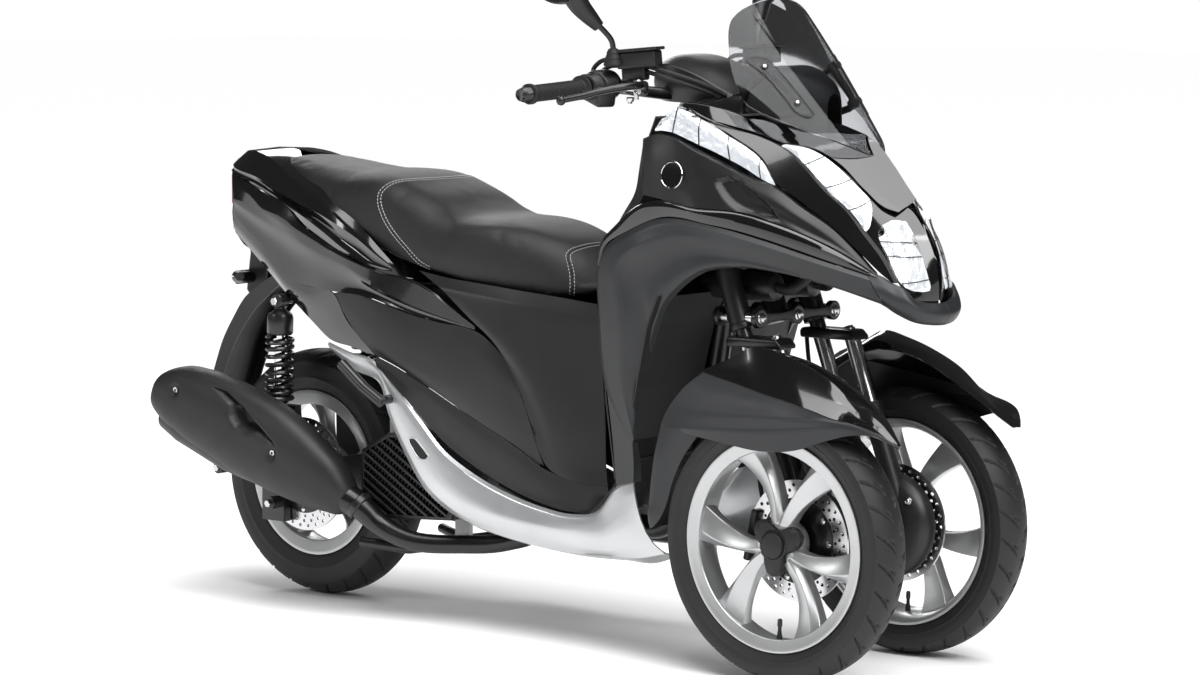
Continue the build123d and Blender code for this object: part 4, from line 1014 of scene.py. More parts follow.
# ---- seat --------------------------------------------------------------------------------------------
# x, half width, height of the skirt's edge, of the underside and of the top, drop to the shoulders
SEAT = [
    (-58, 84, 876, 882, 894, 5), (-20, 104, 862, 872, 893, 9), (40, 124, 826, 838, 886, 13),
    (96, 135, 794, 806, 879, 17), (167, 146, 760, 772, 873, 20), (215, 149, 742, 756, 874, 21),
    (257, 152, 728, 744, 872, 21), (299, 154, 716, 732, 865, 22), (341, 157, 705, 722, 851, 24),
    (387, 159, 693, 710, 832, 24), (423, 160, 686, 702, 812, 20), (460, 159, 679, 696, 796, 14),
    (500, 157, 671, 688, 792, 14), (545, 152, 664, 682, 791, 16), (590, 145, 657, 677, 787, 19),
    (632, 136, 652, 674, 779, 22), (669, 127, 649, 672, 768, 25), (699, 118, 648, 671, 756, 28),
    (724, 109, 649, 670, 741, 30), (748, 98, 653, 668, 723, 30), (768, 84, 658, 667, 704, 26),
    (780, 66, 663, 667, 688, 14),
]
SEAM_REAR = [(423, 160, 687), (398, 159, 702), (368, 159, 728), (330, 158, 760), (303, 155, 790),
             (288, 154, 818), (286, 152, 840), (292, 142, 856), (302, 118, 868), (314, 84, 868),
             (322, 42, 866), (325, 0, 864)]
SEAM_FRONT = [(736, 104, 648), (739, 103, 674), (738, 103, 704), (735, 104, 730), (730, 100, 744),
              (726, 84, 752), (722, 50, 752), (720, 0, 752)]
HINGE_LUG = [(745, 668), (782, 664), (806, 652), (808, 642), (796, 641), (760, 656)]
SEAM_HALF = 4.2                # from the seam to each of its two rows of stitches
STITCH = (4.6, 2.3, 0.75)      # length, gap and radius


def seat_ring(half, skirt, under, top, crown, inset=0):
    """Half a section of the seat, from the top's middle down to the underside's."""
    half, top = half - inset, top - inset
    side = top - crown
    return [(0, top), (0.42 * half, top - 0.12 * crown), (0.72 * half, top - 0.42 * crown),
            (0.9 * half, side), (half - 3, side - 14 - 0.2 * crown), (half, side - 34 - 0.3 * crown),
            (half - 1, skirt + 12), (half - 3, skirt + 2), (half - 9, skirt), (half - 16, skirt + 4),
            (half - 22, under), (0, under)]


def seat_mesh(name, inset):
    """The seat's closed mesh through its stations."""
    rings = []
    for x, half, skirt, under, top, crown in SEAT:
        low_top = min(crown, (top - skirt) * 0.6)
        squat = max(top - low_top - skirt, 6)
        ring = seat_ring(half, skirt, under, top, low_top, inset)
        limit = skirt + squat * 0.5
        ring = [(y, max(z, limit) if k in (4, 5) else z) for k, (y, z) in enumerate(ring)]
        rings.append([(x, y, z) for y, z in ring])
    rings = np.array(rings, float)
    lines = np.array([curve(rings[:, k], 4) for k in range(rings.shape[1])]).transpose(1, 0, 2)
    points, count = [], 0
    for ring in lines:
        right = curve(ring * (1, -1, 1), 3, corners=(7, 8, 10))
        loop = np.vstack([right, right[-2:0:-1] * (1, -1, 1)])
        count = len(loop)
        points.append(loop)
    faces = grid_faces(len(points), count, False, True)
    faces += end_faces(len(points), count)
    return outward(mesh_piece(name, np.vstack(points), faces, LEATHER, "seat", merge=0.3))


def apply_modifiers(piece):
    """Puts the result of a piece's modifiers into its mesh."""
    depsgraph = bpy.context.evaluated_depsgraph_get()
    mesh = bpy.data.meshes.new_from_object(piece.evaluated_get(depsgraph))
    piece.modifiers.clear()
    piece.data = mesh
    return piece


def inflate(piece, voxel, pressure, cap):
    """Lets a pad swell under Cloth by no more than a cap, and keeps the result. Millimetres."""
    modifier(piece, "REMESH", mode="VOXEL", voxel_size=voxel / 1000)
    apply_modifiers(piece)
    start = np.array([v.co for v in piece.data.vertices])
    cloth = piece.modifiers.new("cloth", "CLOTH")
    cloth.settings.use_pressure = True
    cloth.settings.uniform_pressure_force = pressure
    cloth.settings.effector_weights.gravity = 0
    cloth.settings.quality = 4
    scene = bpy.context.scene
    for frame_number in range(1, 21):
        scene.frame_set(frame_number)
    depsgraph = bpy.context.evaluated_depsgraph_get()
    swollen = np.array([v.co for v in piece.evaluated_get(depsgraph).data.vertices])
    scene.frame_set(1)
    piece.modifiers.clear()
    move = swollen - start
    size = np.linalg.norm(move, axis=1)
    move *= (np.minimum(size, cap / 1000) / np.maximum(size, 1e-9))[:, None]
    piece.data.vertices.foreach_set("co", (start + move).ravel())
    piece.data.update()


def on_surface(tree, points):
    """The nearest points of a surface, with its normals there."""
    found = []
    for p in points:
        place, normal = tree.find_nearest(Vector(p))[:2]
        found.append((np.array(place), np.array(normal)))
    return found


def stitch_row(verts, faces, row):
    """Adds short rounded six-sided stitches along a row of (place, normal) in metres."""
    length, gap, radius = (v / 1000 for v in STITCH)
    places = np.array([place for place, _ in row])
    run = np.concatenate([[0], np.cumsum(np.linalg.norm(np.diff(places, axis=0), axis=1))])
    start = gap
    while start + length < run[-1]:
        ends = []
        for reach in (start, start + length):
            k = min(int(np.searchsorted(run, reach)), len(run) - 1)
            share = (reach - run[k - 1]) / max(run[k] - run[k - 1], 1e-9)
            ends.append(places[k - 1] + (places[k] - places[k - 1]) * share)
        normal = row[k][1]
        along = (ends[1] - ends[0]) / length
        across = np.cross(along, normal)
        base = len(verts)
        for step, size, lift in ((0, 0.35, -0.1), (0.2, 0.9, 0.5), (0.8, 0.9, 0.5), (1, 0.35, -0.1)):
            centre = ends[0] + along * length * step + normal * radius * lift
            for n in range(6):
                a = pi * n / 3
                verts.append(centre + (across * cos(a) + normal * sin(a)) * radius * size)
        for ring in range(3):
            for n in range(6):
                a, b = base + ring * 6 + n, base + ring * 6 + (n + 1) % 6
                faces.append((a, b, b + 6, a + 6))
        faces += [tuple(range(base, base + 6)), tuple(range(base + 18, base + 24))]
        start += length + gap


def build_seams(seat):
    """The raised seams and the double rows of stitches on the seat's surface."""
    tree = BVHTree.FromObject(seat, bpy.context.evaluated_depsgraph_get())
    verts, faces = [], []
    for name, seam in (("seat_seam_rear", SEAM_REAR), ("seat_seam_front", SEAM_FRONT)):
        whole = [(x, -y, z) for x, y, z in seam] + [(x, y, z) for x, y, z in seam[-2::-1]]
        line = on_surface(tree, [at(*p) for p in curve(whole, 12)])
        places = np.array([place for place, _ in line])
        ahead = np.gradient(places, axis=0)
        ahead /= np.linalg.norm(ahead, axis=1)[:, None]
        for side in (-1, 1):
            shifted = []
            for (place, normal), along in zip(line, ahead):
                shifted.append(place + np.cross(along, normal) * side * SEAM_HALF / 1000)
            stitch_row(verts, faces, on_surface(tree, shifted))
        bead = [from_frame(place) - normal * 0.5 for place, normal in line]
        tube(name, bead[::2], 1.5, LEATHER, "seat", sides=8, steps=2)
    outward(mesh_piece("seat_stitches", [from_frame(p) for p in verts], faces, THREAD, "seat"))


def build_seat():
    """The swollen cushion with its seams, its pan and its hinge."""
    seat = seat_mesh("seat_cushion", 3)
    inflate(seat, voxel=5, pressure=4, cap=4)
    modifier(seat, "SMOOTH", factor=0.5, iterations=3)
    apply_modifiers(seat)
    seat.data.shade_smooth()
    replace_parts(seat, "seat")
    build_seams(seat)
    pan = [[(x, max(half - 26, 30) * share, under - 2) for x, half, _, under, _, _ in SEAT[1:-1]]
           for share in (0, 0.5, 1)]
    patch("seat_pan", pan, MATTE, "seat", outward=(0, 0, -1), thickness=4)
    plate("seat_hinge_lug", HINGE_LUG, 24, 31, BLACK_METAL, "seat", both=True)
    tube("seat_hinge_pin", [(800, y, 646) for y in (-47, 47)], 5, STEEL, "seat", steps=1)


build_seat()


# ---- windscreen --------------------------------------------------------------------------------------
# right half of its edge, from the foot in the middle round to the top: half width, height
SCREEN_EDGE = [(0, 936), (20, 939), (42, 949), (77, 968), (110, 987), (132, 1002), (149, 1016), (159, 1030),
               (162, 1048), (161, 1070), (157, 1098), (148, 1126), (136, 1155), (122, 1177), (100, 1194),
               (60, 1210), (0, 1219)]
SCREW_PLACES = [(114, 1096), (96, 1032)]
SLOT_EDGE = [(134, 1107), (118, 1113), (102, 1108), (97, 1090), (90, 1062), (85, 1036), (80, 1010),
             (88, 1006), (102, 1010), (110, 1040), (118, 1072), (127, 1092)]


SCREEN_FOOT = (1384, 925)      # x and z where its middle line starts
SCREEN_LEAN = 0.7765           # how far that line falls back for each millimetre up
SCREEN_BOW = 1.18e-4           # and how much more towards the top
SCREEN_CURL = (0.0034, 0.0024)       # how the screen curls back at its sides, and how much more at its foot
CURL_TOP = 1170                # height where it curls least
SCREEN_FACING = (0.76, 0.62)   # x and z of the way it faces


def screen_point(y, z, depth=0):
    """A point of the screen's outer face, or one behind it by a depth."""
    foot_x, foot_z = SCREEN_FOOT
    ahead, up = SCREEN_FACING
    rise = z - foot_z
    curl = SCREEN_CURL[0] + SCREEN_CURL[1] * min(max((CURL_TOP - z) / (CURL_TOP - foot_z), 0), 1) ** 2
    x = foot_x - SCREEN_LEAN * rise - SCREEN_BOW * rise * rise - curl * y * y
    normal = np.array((ahead, 2 * curl * y * ahead, up))
    return np.array((x, y, z)) - normal / np.linalg.norm(normal) * depth


def build_windscreen():
    """The smoked screen with its screws, its two slots and the brackets behind it."""
    edge = curve(np.array(SCREEN_EDGE, float), 5)
    run = np.concatenate([[0], np.cumsum(np.linalg.norm(np.diff(edge, axis=0), axis=1))])
    middle_z = edge[0, 1] + (edge[-1, 1] - edge[0, 1]) * run / run[-1]
    shares = np.linspace(-1, 1, 33)
    points = []
    for share in shares:
        g = abs(share)
        for (y, z), zc in zip(edge, middle_z):
            points.append(screen_point(y * share, z * g + zc * (1 - g)))
    faces = grid_faces(len(shares), len(edge))
    screen = mesh_piece("windscreen_sheet", points, [f[::-1] for f in faces], SMOKE, merge=0.2)
    thicken(screen, 3.6, 1.1, 3)
    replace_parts(screen, "windscreen")
    slots, screws, mounts = [], [], []
    for side in (RIGHT, LEFT):
        for n, (y, z) in enumerate(SCREW_PLACES):
            place = screen_point(side * y, z)
            axis = place - screen_point(side * y, z, 10)
            dome = [(0, 2.6), (4.6, 2.2), (6.2, 1), (6.4, 0.1), (6.4, -9), (0, -9)]
            socket = [(0, 2.1), (2.4, 2.9), (3, 2.9), (3.2, 2.2)]
            boss = [(0, -5), (9, -5), (10, -8), (10, -20), (7, -24), (0, -24)]
            screws.append(turned(f"screen_screw_{n}", dome, place, axis, BLACK_METAL, segments=24))
            screws.append(turned(f"screen_screw_hole_{n}", socket, place, axis, STEEL, segments=6))
            mounts.append(turned(f"screen_boss_{n}", boss, place, axis, MATTE, segments=24))
        slot = curve([screen_point(side * y, z, -0.3) for y, z in SLOT_EDGE], 5, corners=(2, 6), closed=True)
        inner = curve([screen_point(side * y, z, 5.5) for y, z in SLOT_EDGE], 5, corners=(2, 6), closed=True)
        slots.append(tube(f"screen_slot_{side}", slot[::2], 0.9, DARK, sides=6, steps=1, closed=True))
        centre = inner.mean(0)
        ring = list(inner[:-1])
        count = len(ring)
        verts = ring + [centre + (p - centre) * 0.55 for p in ring]
        fan = grid_faces(2, count, False, True) + [tuple(range(count, 2 * count))]
        backing = mesh_piece(f"screen_backing_{side}", verts, fan, SMOKE_FLAT)
        thicken(backing, 2, 0.4, 1)
        slots.append(backing)
        arm = [screen_point(side * (y - 6), z, 16) for y, z in SCREW_PLACES]
        foot = (1150, side * 74, 1000)
        mounts.append(tube(f"screen_arm_{side}", [arm[0], arm[1], foot], 7, MATTE, sides=12, steps=6))
        mounts.append(tube(f"screen_strut_{side}", [arm[0], (1130, side * 78, 1040), (1110, side * 70, 1004)],
                         6, MATTE, sides=12, steps=6))
    merged("screen_screws", screws)
    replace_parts(merged("screen_brackets", mounts), "screen_mount")
    merged("screen_slots", slots)


METER_RINGS = [
    # x, half width, low, high
    (1138, 88, 1006, 1046), (1148, 93, 1000, 1078), (1172, 93, 992, 1094), (1204, 82, 984, 1089),
    (1232, 64, 978, 1078), (1256, 45, 972, 1064), (1274, 22, 968, 1046),
]


def build_meter_cover():
    """The visor over the instruments, seen through the screen."""
    rings = []
    for x, half, low, high in METER_RINGS:
        left = [(half, low), (half, low + (high - low) * 0.45), (half * 0.72, high - 8)]
        ring = left + [(0, high)] + [(-y, z) for y, z in left[::-1]]
        rings.append(curve([(x, y, z) for y, z in ring], 4))
    lines = np.array([curve(line, 4) for line in np.array(rings).transpose(1, 0, 2)]).transpose(1, 0, 2)
    cover = mesh_piece("meter_cover", lines.reshape(-1, 3), grid_faces(*lines.shape[:2]), MATTE)
    thicken(cover, 3, 1.4)
    screen = [[(1146, y, 1022), (1144, y, 1044), (1152, y, 1068)] for y in (-66, 0, 66)]
    patch("meter_glass", screen, MIRROR_DARK, outward=(-1, 0, 0.2), thickness=3, both=False, y_sign=1)


build_windscreen()
build_meter_cover()


# ---- front fenders -----------------------------------------------------------------------------------
# rows of the right fender, from its inner edge over the ridge down to the foot of the skirt
FENDER_TOP = [
    [(1146, 152, 512), (1200, 146, 545), (1250, 142, 566), (1300, 140, 572), (1350, 140, 564), (1410, 140, 541),
     (1460, 142, 512), (1504, 152, 482), (1533, 166, 458), (1551, 176, 443)],
    [(1140, 178, 540), (1196, 168, 566), (1248, 160, 585), (1302, 158, 583), (1358, 158, 570), (1412, 158, 546),
     (1463, 160, 514), (1507, 168, 482), (1536, 178, 457), (1553, 182, 443)],
    [(1138, 204, 553), (1193, 202, 575), (1246, 198, 600), (1303, 196, 590), (1367, 195, 569), (1420, 195, 543),
     (1472, 195, 500), (1510, 192, 468), (1539, 187, 450), (1555, 184, 443)],
    [(1140, 208, 550), (1210, 213, 553), (1262, 212, 567), (1322, 210, 562), (1386, 208, 544), (1432, 208, 522),
     (1478, 208, 489), (1512, 204, 470), (1542, 196, 451), (1556, 187, 443)],
    [(1141, 212, 547), (1222, 225, 534), (1284, 233, 522), (1345, 239, 512), (1406, 242, 500), (1450, 242, 489),
     (1492, 238, 482), (1524, 226, 471), (1544, 208, 456), (1557, 190, 443)],
]
FENDER_SIDE = [
    [(1141, 210, 548), (1222, 223, 534), (1284, 231, 522), (1345, 237, 512), (1406, 240, 500), (1450, 240, 489),
     (1492, 236, 482), (1524, 224, 470), (1544, 206, 455), (1556, 190, 442)],
    [(1104, 220, 520), (1180, 232, 508), (1250, 239, 502), (1322, 243, 497), (1392, 245, 492), (1448, 243, 486),
     (1491, 238, 480), (1524, 225, 468), (1544, 207, 454), (1556, 190, 441)],
    [(1076, 227, 486), (1150, 237, 482), (1226, 243, 482), (1304, 246, 484), (1384, 248, 486), (1446, 246, 484),
     (1490, 239, 479), (1524, 226, 467), (1544, 207, 453), (1556, 190, 441)],
    [(1066, 229, 470), (1138, 238, 468), (1218, 244, 473), (1300, 247, 478), (1383, 248, 480), (1446, 246, 481),
     (1490, 239, 477), (1524, 226, 466), (1544, 207, 452), (1556, 190, 440)],
    [(1057, 232, 447), (1128, 243, 447), (1210, 250, 452), (1296, 253, 456), (1380, 252, 466), (1446, 248, 472),
     (1490, 240, 472), (1524, 226, 464), (1544, 207, 451), (1556, 190, 439)],
    [(1058, 231, 443), (1130, 241, 436), (1212, 248, 428), (1298, 250, 420), (1376, 250, 428), (1442, 246, 450),
     (1489, 240, 462), (1524, 227, 462), (1544, 208, 450), (1556, 190, 438)],
]
FENDER_FLAP = [
    [(1150, 236, 440), (1112, 236, 392), (1090, 236, 350), (1072, 236, 300), (1046, 236, 262), (1036, 232, 256)],
    [(1100, 240, 445), (1072, 240, 396), (1056, 240, 350), (1046, 240, 305), (1038, 240, 270), (1034, 234, 256)],
    [(1058, 232, 446), (1046, 235, 396), (1038, 235, 350), (1033, 235, 305), (1031, 235, 270), (1033, 232, 256)],
    [(1062, 196, 452), (1044, 196, 400), (1036, 196, 350), (1031, 196, 305), (1029, 196, 270), (1031, 194, 256)],
    [(1068, 158, 452), (1048, 158, 400), (1038, 158, 350), (1033, 158, 305), (1031, 160, 270), (1032, 164, 256)],
]
FENDER_REAR = [
    [(1146, 152, 512), (1110, 152, 484), (1082, 154, 462), (1068, 158, 452)],
    [(1138, 178, 536), (1102, 178, 506), (1074, 180, 474), (1063, 182, 452)],
    [(1138, 204, 551), (1099, 208, 520), (1070, 210, 480), (1059, 214, 450)],
    [(1141, 211, 547), (1104, 221, 518), (1075, 228, 484), (1058, 232, 446)],
]


FENDER_PANELS = (
    # name, rows, finish, creased rows, thickness, bevel, outwards with y for the machine's own side
    ("top", FENDER_TOP, GLOSS, (2, 4), 2.8, 1.2, (0, 1, 1)),
    ("skirt", FENDER_SIDE, SATIN, (2, 3, 4), 2.8, 1, (0, 1, 0)),
    ("flap", FENDER_FLAP, SATIN, (2,), 3, 1, (-1, 1, 0)),
    ("rear", FENDER_REAR, SATIN, (), 2.6, 1, (-1, 0, 1)),
)
for fork, side in (("right", RIGHT), ("left", LEFT)):
    for name, rows, finish, creases, thickness, bevel, (x, y, z) in FENDER_PANELS:
        panel = patch(f"fender_{name}_{fork}", rows, finish, f"fork_{fork}", creases=creases,
                      outward=(x, y * side, z), thickness=thickness, bevel=bevel, both=False, y_sign=side)
        if name == "top":
            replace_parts(panel, f"fender_{fork}")


# ---- muffler -----------------------------------------------------------------------------------------
# foot and top of each section in side view (x, z, x, z), then its middle's and half its width
MUFFLER = [
    (-282, 402, -279, 424, 205, 14), (-273, 380, -246, 452, 205, 36), (-243, 352, -196, 468, 205, 46),
    (-190, 322, -135, 466, 205, 51), (-120, 292, -55, 450, 205, 53), (-48, 264, 22, 428, 205, 53),
    (20, 244, 84, 404, 204, 52), (85, 226, 142, 370, 202, 50), (145, 213, 190, 335, 199, 45),
    (195, 205, 230, 298, 195, 38), (226, 203, 250, 262, 192, 28), (244, 216, 257, 244, 190, 16),
]
MUFFLER_RECESS = [(-129, 450), (-86, 441), (-43, 433), (10, 406), (57, 371), (96, 341), (108, 320), (85, 336),
                  (45, 352), (21, 352), (-11, 360), (-29, 381), (-31, 405), (-63, 424), (-112, 446)]
MUFFLER_HOLE = [(-24, 402), (8, 398), (33, 380), (36, 364), (10, 361), (-14, 368)]
MUFFLER_BOLTS = [(-183, 424), (88, 318)]


def edge_distance(points, outline):
    """How deep each (x, z) point lies inside a closed outline, and 0 outside it."""
    p = np.asarray(points, float)
    depth = np.full(len(p), 1e9)
    inside = np.zeros(len(p), bool)
    for k in range(len(outline)):
        a, b = np.array(outline[k - 1], float), np.array(outline[k], float)
        t = np.clip(((p - a) @ (b - a)) / ((b - a) @ (b - a)), 0, 1)
        depth = np.minimum(depth, np.linalg.norm(p - a - t[:, None] * (b - a), axis=1))
        spans = (a[1] > p[:, 1]) != (b[1] > p[:, 1])
        with np.errstate(divide="ignore", invalid="ignore"):
            cross = (b[0] - a[0]) * (p[:, 1] - a[1]) / (b[1] - a[1]) + a[0]
        inside ^= spans & (p[:, 0] < cross)
    return np.where(inside, depth, 0)


def smooth_step(value):
    """Eases a value from 0 to 1."""
    value = np.clip(value, 0, 1)
    return value * value * (3 - 2 * value)


def build_muffler():
    """The muffler's shield with its recess, the can and pipe inside it and its bolts."""
    lines = curve(np.array(MUFFLER, float), 12)
    around = 132               # points round the shield
    rings = []
    for x0, z0, x1, z1, y, half in lines:
        low, high = np.array((x0, z0)), np.array((x1, z1))
        centre, reach = (low + high) / 2, (high - low) / 2
        for n in range(around):
            a = 2 * pi * n / around
            c, s = cos(a), sin(a)
            power = 2 / (2.7 if c < 0 else 2.1)
            up = abs(s) ** power * (1 if s > 0 else -1)
            out = abs(c) ** power * (1 if c > 0 else -1)
            x, z = centre + reach * up
            rings.append((x, -y + half * out, z))
    points = np.array(rings)
    flat = points[:, [0, 2]]
    outer = smooth_step((-195 - points[:, 1]) / 12)
    well = smooth_step(edge_distance(flat, MUFFLER_RECESS) / 15)
    hole = smooth_step(edge_distance(flat, MUFFLER_HOLE) / 7)
    points[:, 1] += outer * (24 * well + 10 * hole)
    for x, z in MUFFLER_BOLTS:
        away = np.hypot(flat[:, 0] - x, flat[:, 1] - z)
        points[:, 1] += outer * 7 * (1 - smooth_step((away - 8) / 6))
    faces = grid_faces(len(lines), around, False, True) + end_faces(len(lines), around)
    shield = outward(mesh_piece("muffler_shield", points, faces, MUFFLER_PAINT, sharp=50, merge=0.05))
    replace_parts(shield, "exhaust")
    parts = [tube("muffler_can", [(-258, -203, 368), (-248, -203, 365), (-200, -203, 350), (-60, -203, 304),
                                  (120, -200, 250)], [20, 31, 40, 44, 30], MUFFLER_PAINT, sides=48),
             tube("muffler_outlet", [(-240, -196, 362), (-266, -196, 370), (-270, -196, 371)], [15, 15, 13],
                  BLACK_METAL, sides=32),
             tube("exhaust_pipe", [(232, -190, 236), (262, -184, 222), (300, -172, 190), (372, -160, 162),
                                   (470, -120, 158), (560, -84, 168), (612, -60, 190), (628, -50, 230)],
                  [30, 26, 22, 19, 18, 18, 18, 18], BLACK_METAL, sides=32),
             turned("muffler_collar", [(0, -8), (27, -8), (29, -6), (29, 6), (27, 8), (0, 8)], (262, -184, 222),
                    (0.72, 0.18, -0.62), BLACK_METAL)]
    merged("exhaust_system", parts)
    bolts = []
    for n, (x, z) in enumerate(MUFFLER_BOLTS):
        for m, (finish, profile) in enumerate((
                (BLACK_METAL, [(0, 2), (11, 2), (12, 1), (12, -3), (0, -3)]),
                (STEEL, [(2.6, 4.4), (2.6, 6.5), (5.2, 6.8), (6, 6), (6, 2), (0, 2), (0, 4.4)]))):
            place = (x, -250 + (6 if m else 5), z)
            bolts.append(turned(f"muffler_bolt_{n}_{m}", profile, place, (0, -1, 0), finish, segments=24))
    for n, (x, z) in enumerate(((-112, 268), (33, 208))):
        bolts.append(turned(f"hanger_{n}", [(0, -26), (10, -26), (13, -24), (13, 6), (0, 6)], (x, -196, z),
                            (0, -1, 0), BLACK_METAL, segments=32))
        bolts.append(turned(f"hanger_nut_{n}", [(0, 0), (8, 0), (8, 7), (6.4, 8.4), (0, 8.4)], (x, -202, z),
                            (0, -1, 0), STEEL, segments=6))
    merged("muffler_bolts", bolts)


# ---- rear shock absorbers ----------------------------------------------------------------------------
SHOCK_Y = 126
SHOCK_LINE = ((-14, 376), (-6, 606))
SPRING = dict(radius=25.5, wire=4.6, low=34, high=158, turns=8.2)


def helix(name, start, axis, radius, wire, length, turns, finish):
    """A coil spring from a start point along an axis."""
    axis = np.array(axis, float)
    axis /= np.linalg.norm(axis)
    side = np.cross(axis, (0, 1, 0))
    side /= np.linalg.norm(side)
    other = np.cross(axis, side)
    steps = int(turns * 22)
    points = []
    for k in range(steps + 1):
        t = k / steps
        rise = length * (t - 0.028 * sin(2 * pi * t))
        a = 2 * pi * turns * t
        points.append(np.array(start) + axis * rise + (side * cos(a) + other * sin(a)) * radius)
    return tube(name, points, wire, finish, sides=10, steps=1)


def build_shocks():
    """The two shock absorbers with their springs, eyes and nuts."""
    (x0, z0), (x1, z1) = SHOCK_LINE
    parts = []
    axis = np.array((x1 - x0, 0, z1 - z0), float)
    length = np.linalg.norm(axis)
    axis /= length
    for side in (RIGHT, LEFT):
        foot = np.array((x0, side * SHOCK_Y, z0), float)
        body = [(0, 0), (9, 0), (9, 20), (20, 24), (21, 40), (21, 50), (10, 54), (10, 160), (24, 162),
                (26.5, 166), (26.5, 196), (24, 204), (15, 210), (10, 214), (10, length), (0, length)]
        parts.append(turned(f"shock_{side}", body, foot, axis, BLACK_METAL, segments=40))
        spring_seat = [(10, 30), (30, 30), (31.5, 32), (31.5, 35), (29, 38), (10, 38)]
        parts.append(turned(f"shock_seat_{side}", spring_seat, foot, axis, BLACK_METAL, segments=40))
        parts.append(turned(f"shock_rod_{side}", [(0, 52), (10.6, 52), (10.6, 160), (0, 160)], foot, axis,
                            CHROME, segments=32))
        start = foot + axis * SPRING["low"]
        parts.append(helix(f"spring_{side}", start + axis * 6, axis, SPRING["radius"], SPRING["wire"],
                           SPRING["high"] - SPRING["low"] - 6, SPRING["turns"], DARK_PAINT))
        eye = [(0, -13), (13, -13), (15, -11), (15, 11), (13, 13), (0, 13)]
        nut = [(0, 13), (9, 13), (9, 20), (7, 22), (0, 22)]
        for x, z in SHOCK_LINE:
            place = (x, side * SHOCK_Y, z)
            parts.append(turned(f"shock_eye_{side}_{z}", eye, place, (0, 1, 0), BLACK_METAL))
            parts.append(turned(f"shock_nut_{side}_{z}", nut, place, (0, side, 0), STEEL, segments=6))
    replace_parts(merged("shock_absorbers", parts), "rear_shocks")


# ---- rear mudguard and lamps -------------------------------------------------------------------------
GUARD = [(-92, 648), (-128, 628), (-170, 600), (-205, 556), (-236, 508), (-256, 462), (-276, 412),
         (-300, 362), (-322, 318)]
GUARD_IN = [(-70, 634), (-108, 606), (-144, 578), (-178, 540), (-210, 496), (-232, 452), (-252, 404),
            (-280, 352), (-312, 314)]


def lamp_rows(start, bulge, heights):
    """Rows of a lens across the tail, bulged backwards between its flat ends."""
    return [[(-180 if abs(y) > 80 else start - bulge * (1 - (y / 84) ** 2), y, z)
             for y in (-88, -62, -30, 0, 30, 62, 88)] for z in heights]


def build_rear_guard():
    """The mudguard, the bar for a plate, the rear lamps' arms and the tail lamp."""
    rows = [[(x, 58, z) for x, z in GUARD_IN]]
    rows += [[(x + dx, y, z + dz) for x, z in GUARD]
             for dx, y, dz in ((0, 62, 0), (-1, 54, 2), (-4, 28, 5), (-5, 0, 6))]
    guard = patch("rear_mudguard", rows, SATIN_DARK, creases=(1, 2), outward=(-1, -1, 0.4), bevel=1.6)
    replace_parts(guard, "rear_fender")
    rib = [[(x + dx, y, z + dz) for x, z in GUARD[:-1]]
           for dx, y, dz in ((0, 40, 2), (-6, 36, 6), (-6, 30, 6), (-2, 26, 4))]
    patch("mudguard_ribs", rib, SATIN_DARK, outward=(-1, 0, 0.4), thickness=2, bevel=1)
    stem = [(-190, 612), (-172, 596), (-128, 622), (-122, 700), (-128, 792), (-186, 800), (-196, 760),
            (-178, 690), (-184, 652)]
    plate("tail_support", stem, -40, 40, SATIN_DARK, bevel=5)
    parts = []
    for side in (RIGHT, LEFT):
        arm = [(-170, side * 30, 640), (-176, side * 60, 641), (-168, side * 84, 643), (-150, side * 97, 645)]
        parts.append(tube(f"lamp_arm_{side}", arm, [11, 12, 13, 9], SATIN_DARK, sides=24))
        parts.append(tube(f"lamp_line_{side}", [(x - 6, y + side * 9, z + 2) for x, y, z in arm[1:]], 2.6,
                          CHROME, sides=12))
    parts.append(plate("plate_bar", [(-190, 626), (-182, 626), (-182, 654), (-190, 654)], -72, 72, SATIN_DARK,
                       bevel=3))
    merged("rear_lamp_arms", parts)
    lens_options = dict(outward=(-1, 0, 0), thickness=4, bevel=2, both=False, y_sign=1)
    red = lamp_rows(-184, 15, (792, 806, 838, 852))
    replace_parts(patch("tail_lamp_lens", red, RED, **lens_options), "tail_lamp")
    # the tail lamp's clear part takes the reflectors' finish, so it carries the same painted glow
    patch("tail_lamp_clear", lamp_rows(-183, 12, (740, 752, 772, 784)), REFLECTOR_PAINTED_GLOW, **lens_options)


build_muffler()
build_shocks()
build_rear_guard()


# ---- handlebar, controls and mirrors -----------------------------------------------------------------
BAR_IN, BAR_OUT = np.array((900, 215, 1058), float), np.array((839, 367, 1043), float)
HOOD_RINGS = [
    # x, half width, foot, shoulder and top
    (902, 56, 1046, 1078, 1090), (922, 84, 1034, 1090, 1106), (952, 102, 1028, 1096, 1113),
    (990, 106, 1026, 1090, 1106), (1030, 100, 1026, 1076, 1092), (1066, 86, 1028, 1056, 1070),
    (1092, 70, 1030, 1040, 1048),
]
LEVER = [(968, 196, 1056), (996, 214, 1060), (998, 240, 1060), (972, 286, 1053), (944, 322, 1042),
         (919, 346, 1035)]
HOSES = [[(880, 206, 1072), (872, 200, 1086), (884, 196, 1100), (910, 192, 1106), (952, 186, 1100),
          (1010, 160, 1084), (1062, 120, 1062), (1092, 84, 1040)], [(898, 208, 1066), (892, 202, 1080),
                                                                    (904, 196, 1091), (930, 192, 1094),
                                                                    (966, 184, 1088), (1018, 156, 1070),
                                                                    (1064, 116, 1050), (1090, 84, 1032)],]
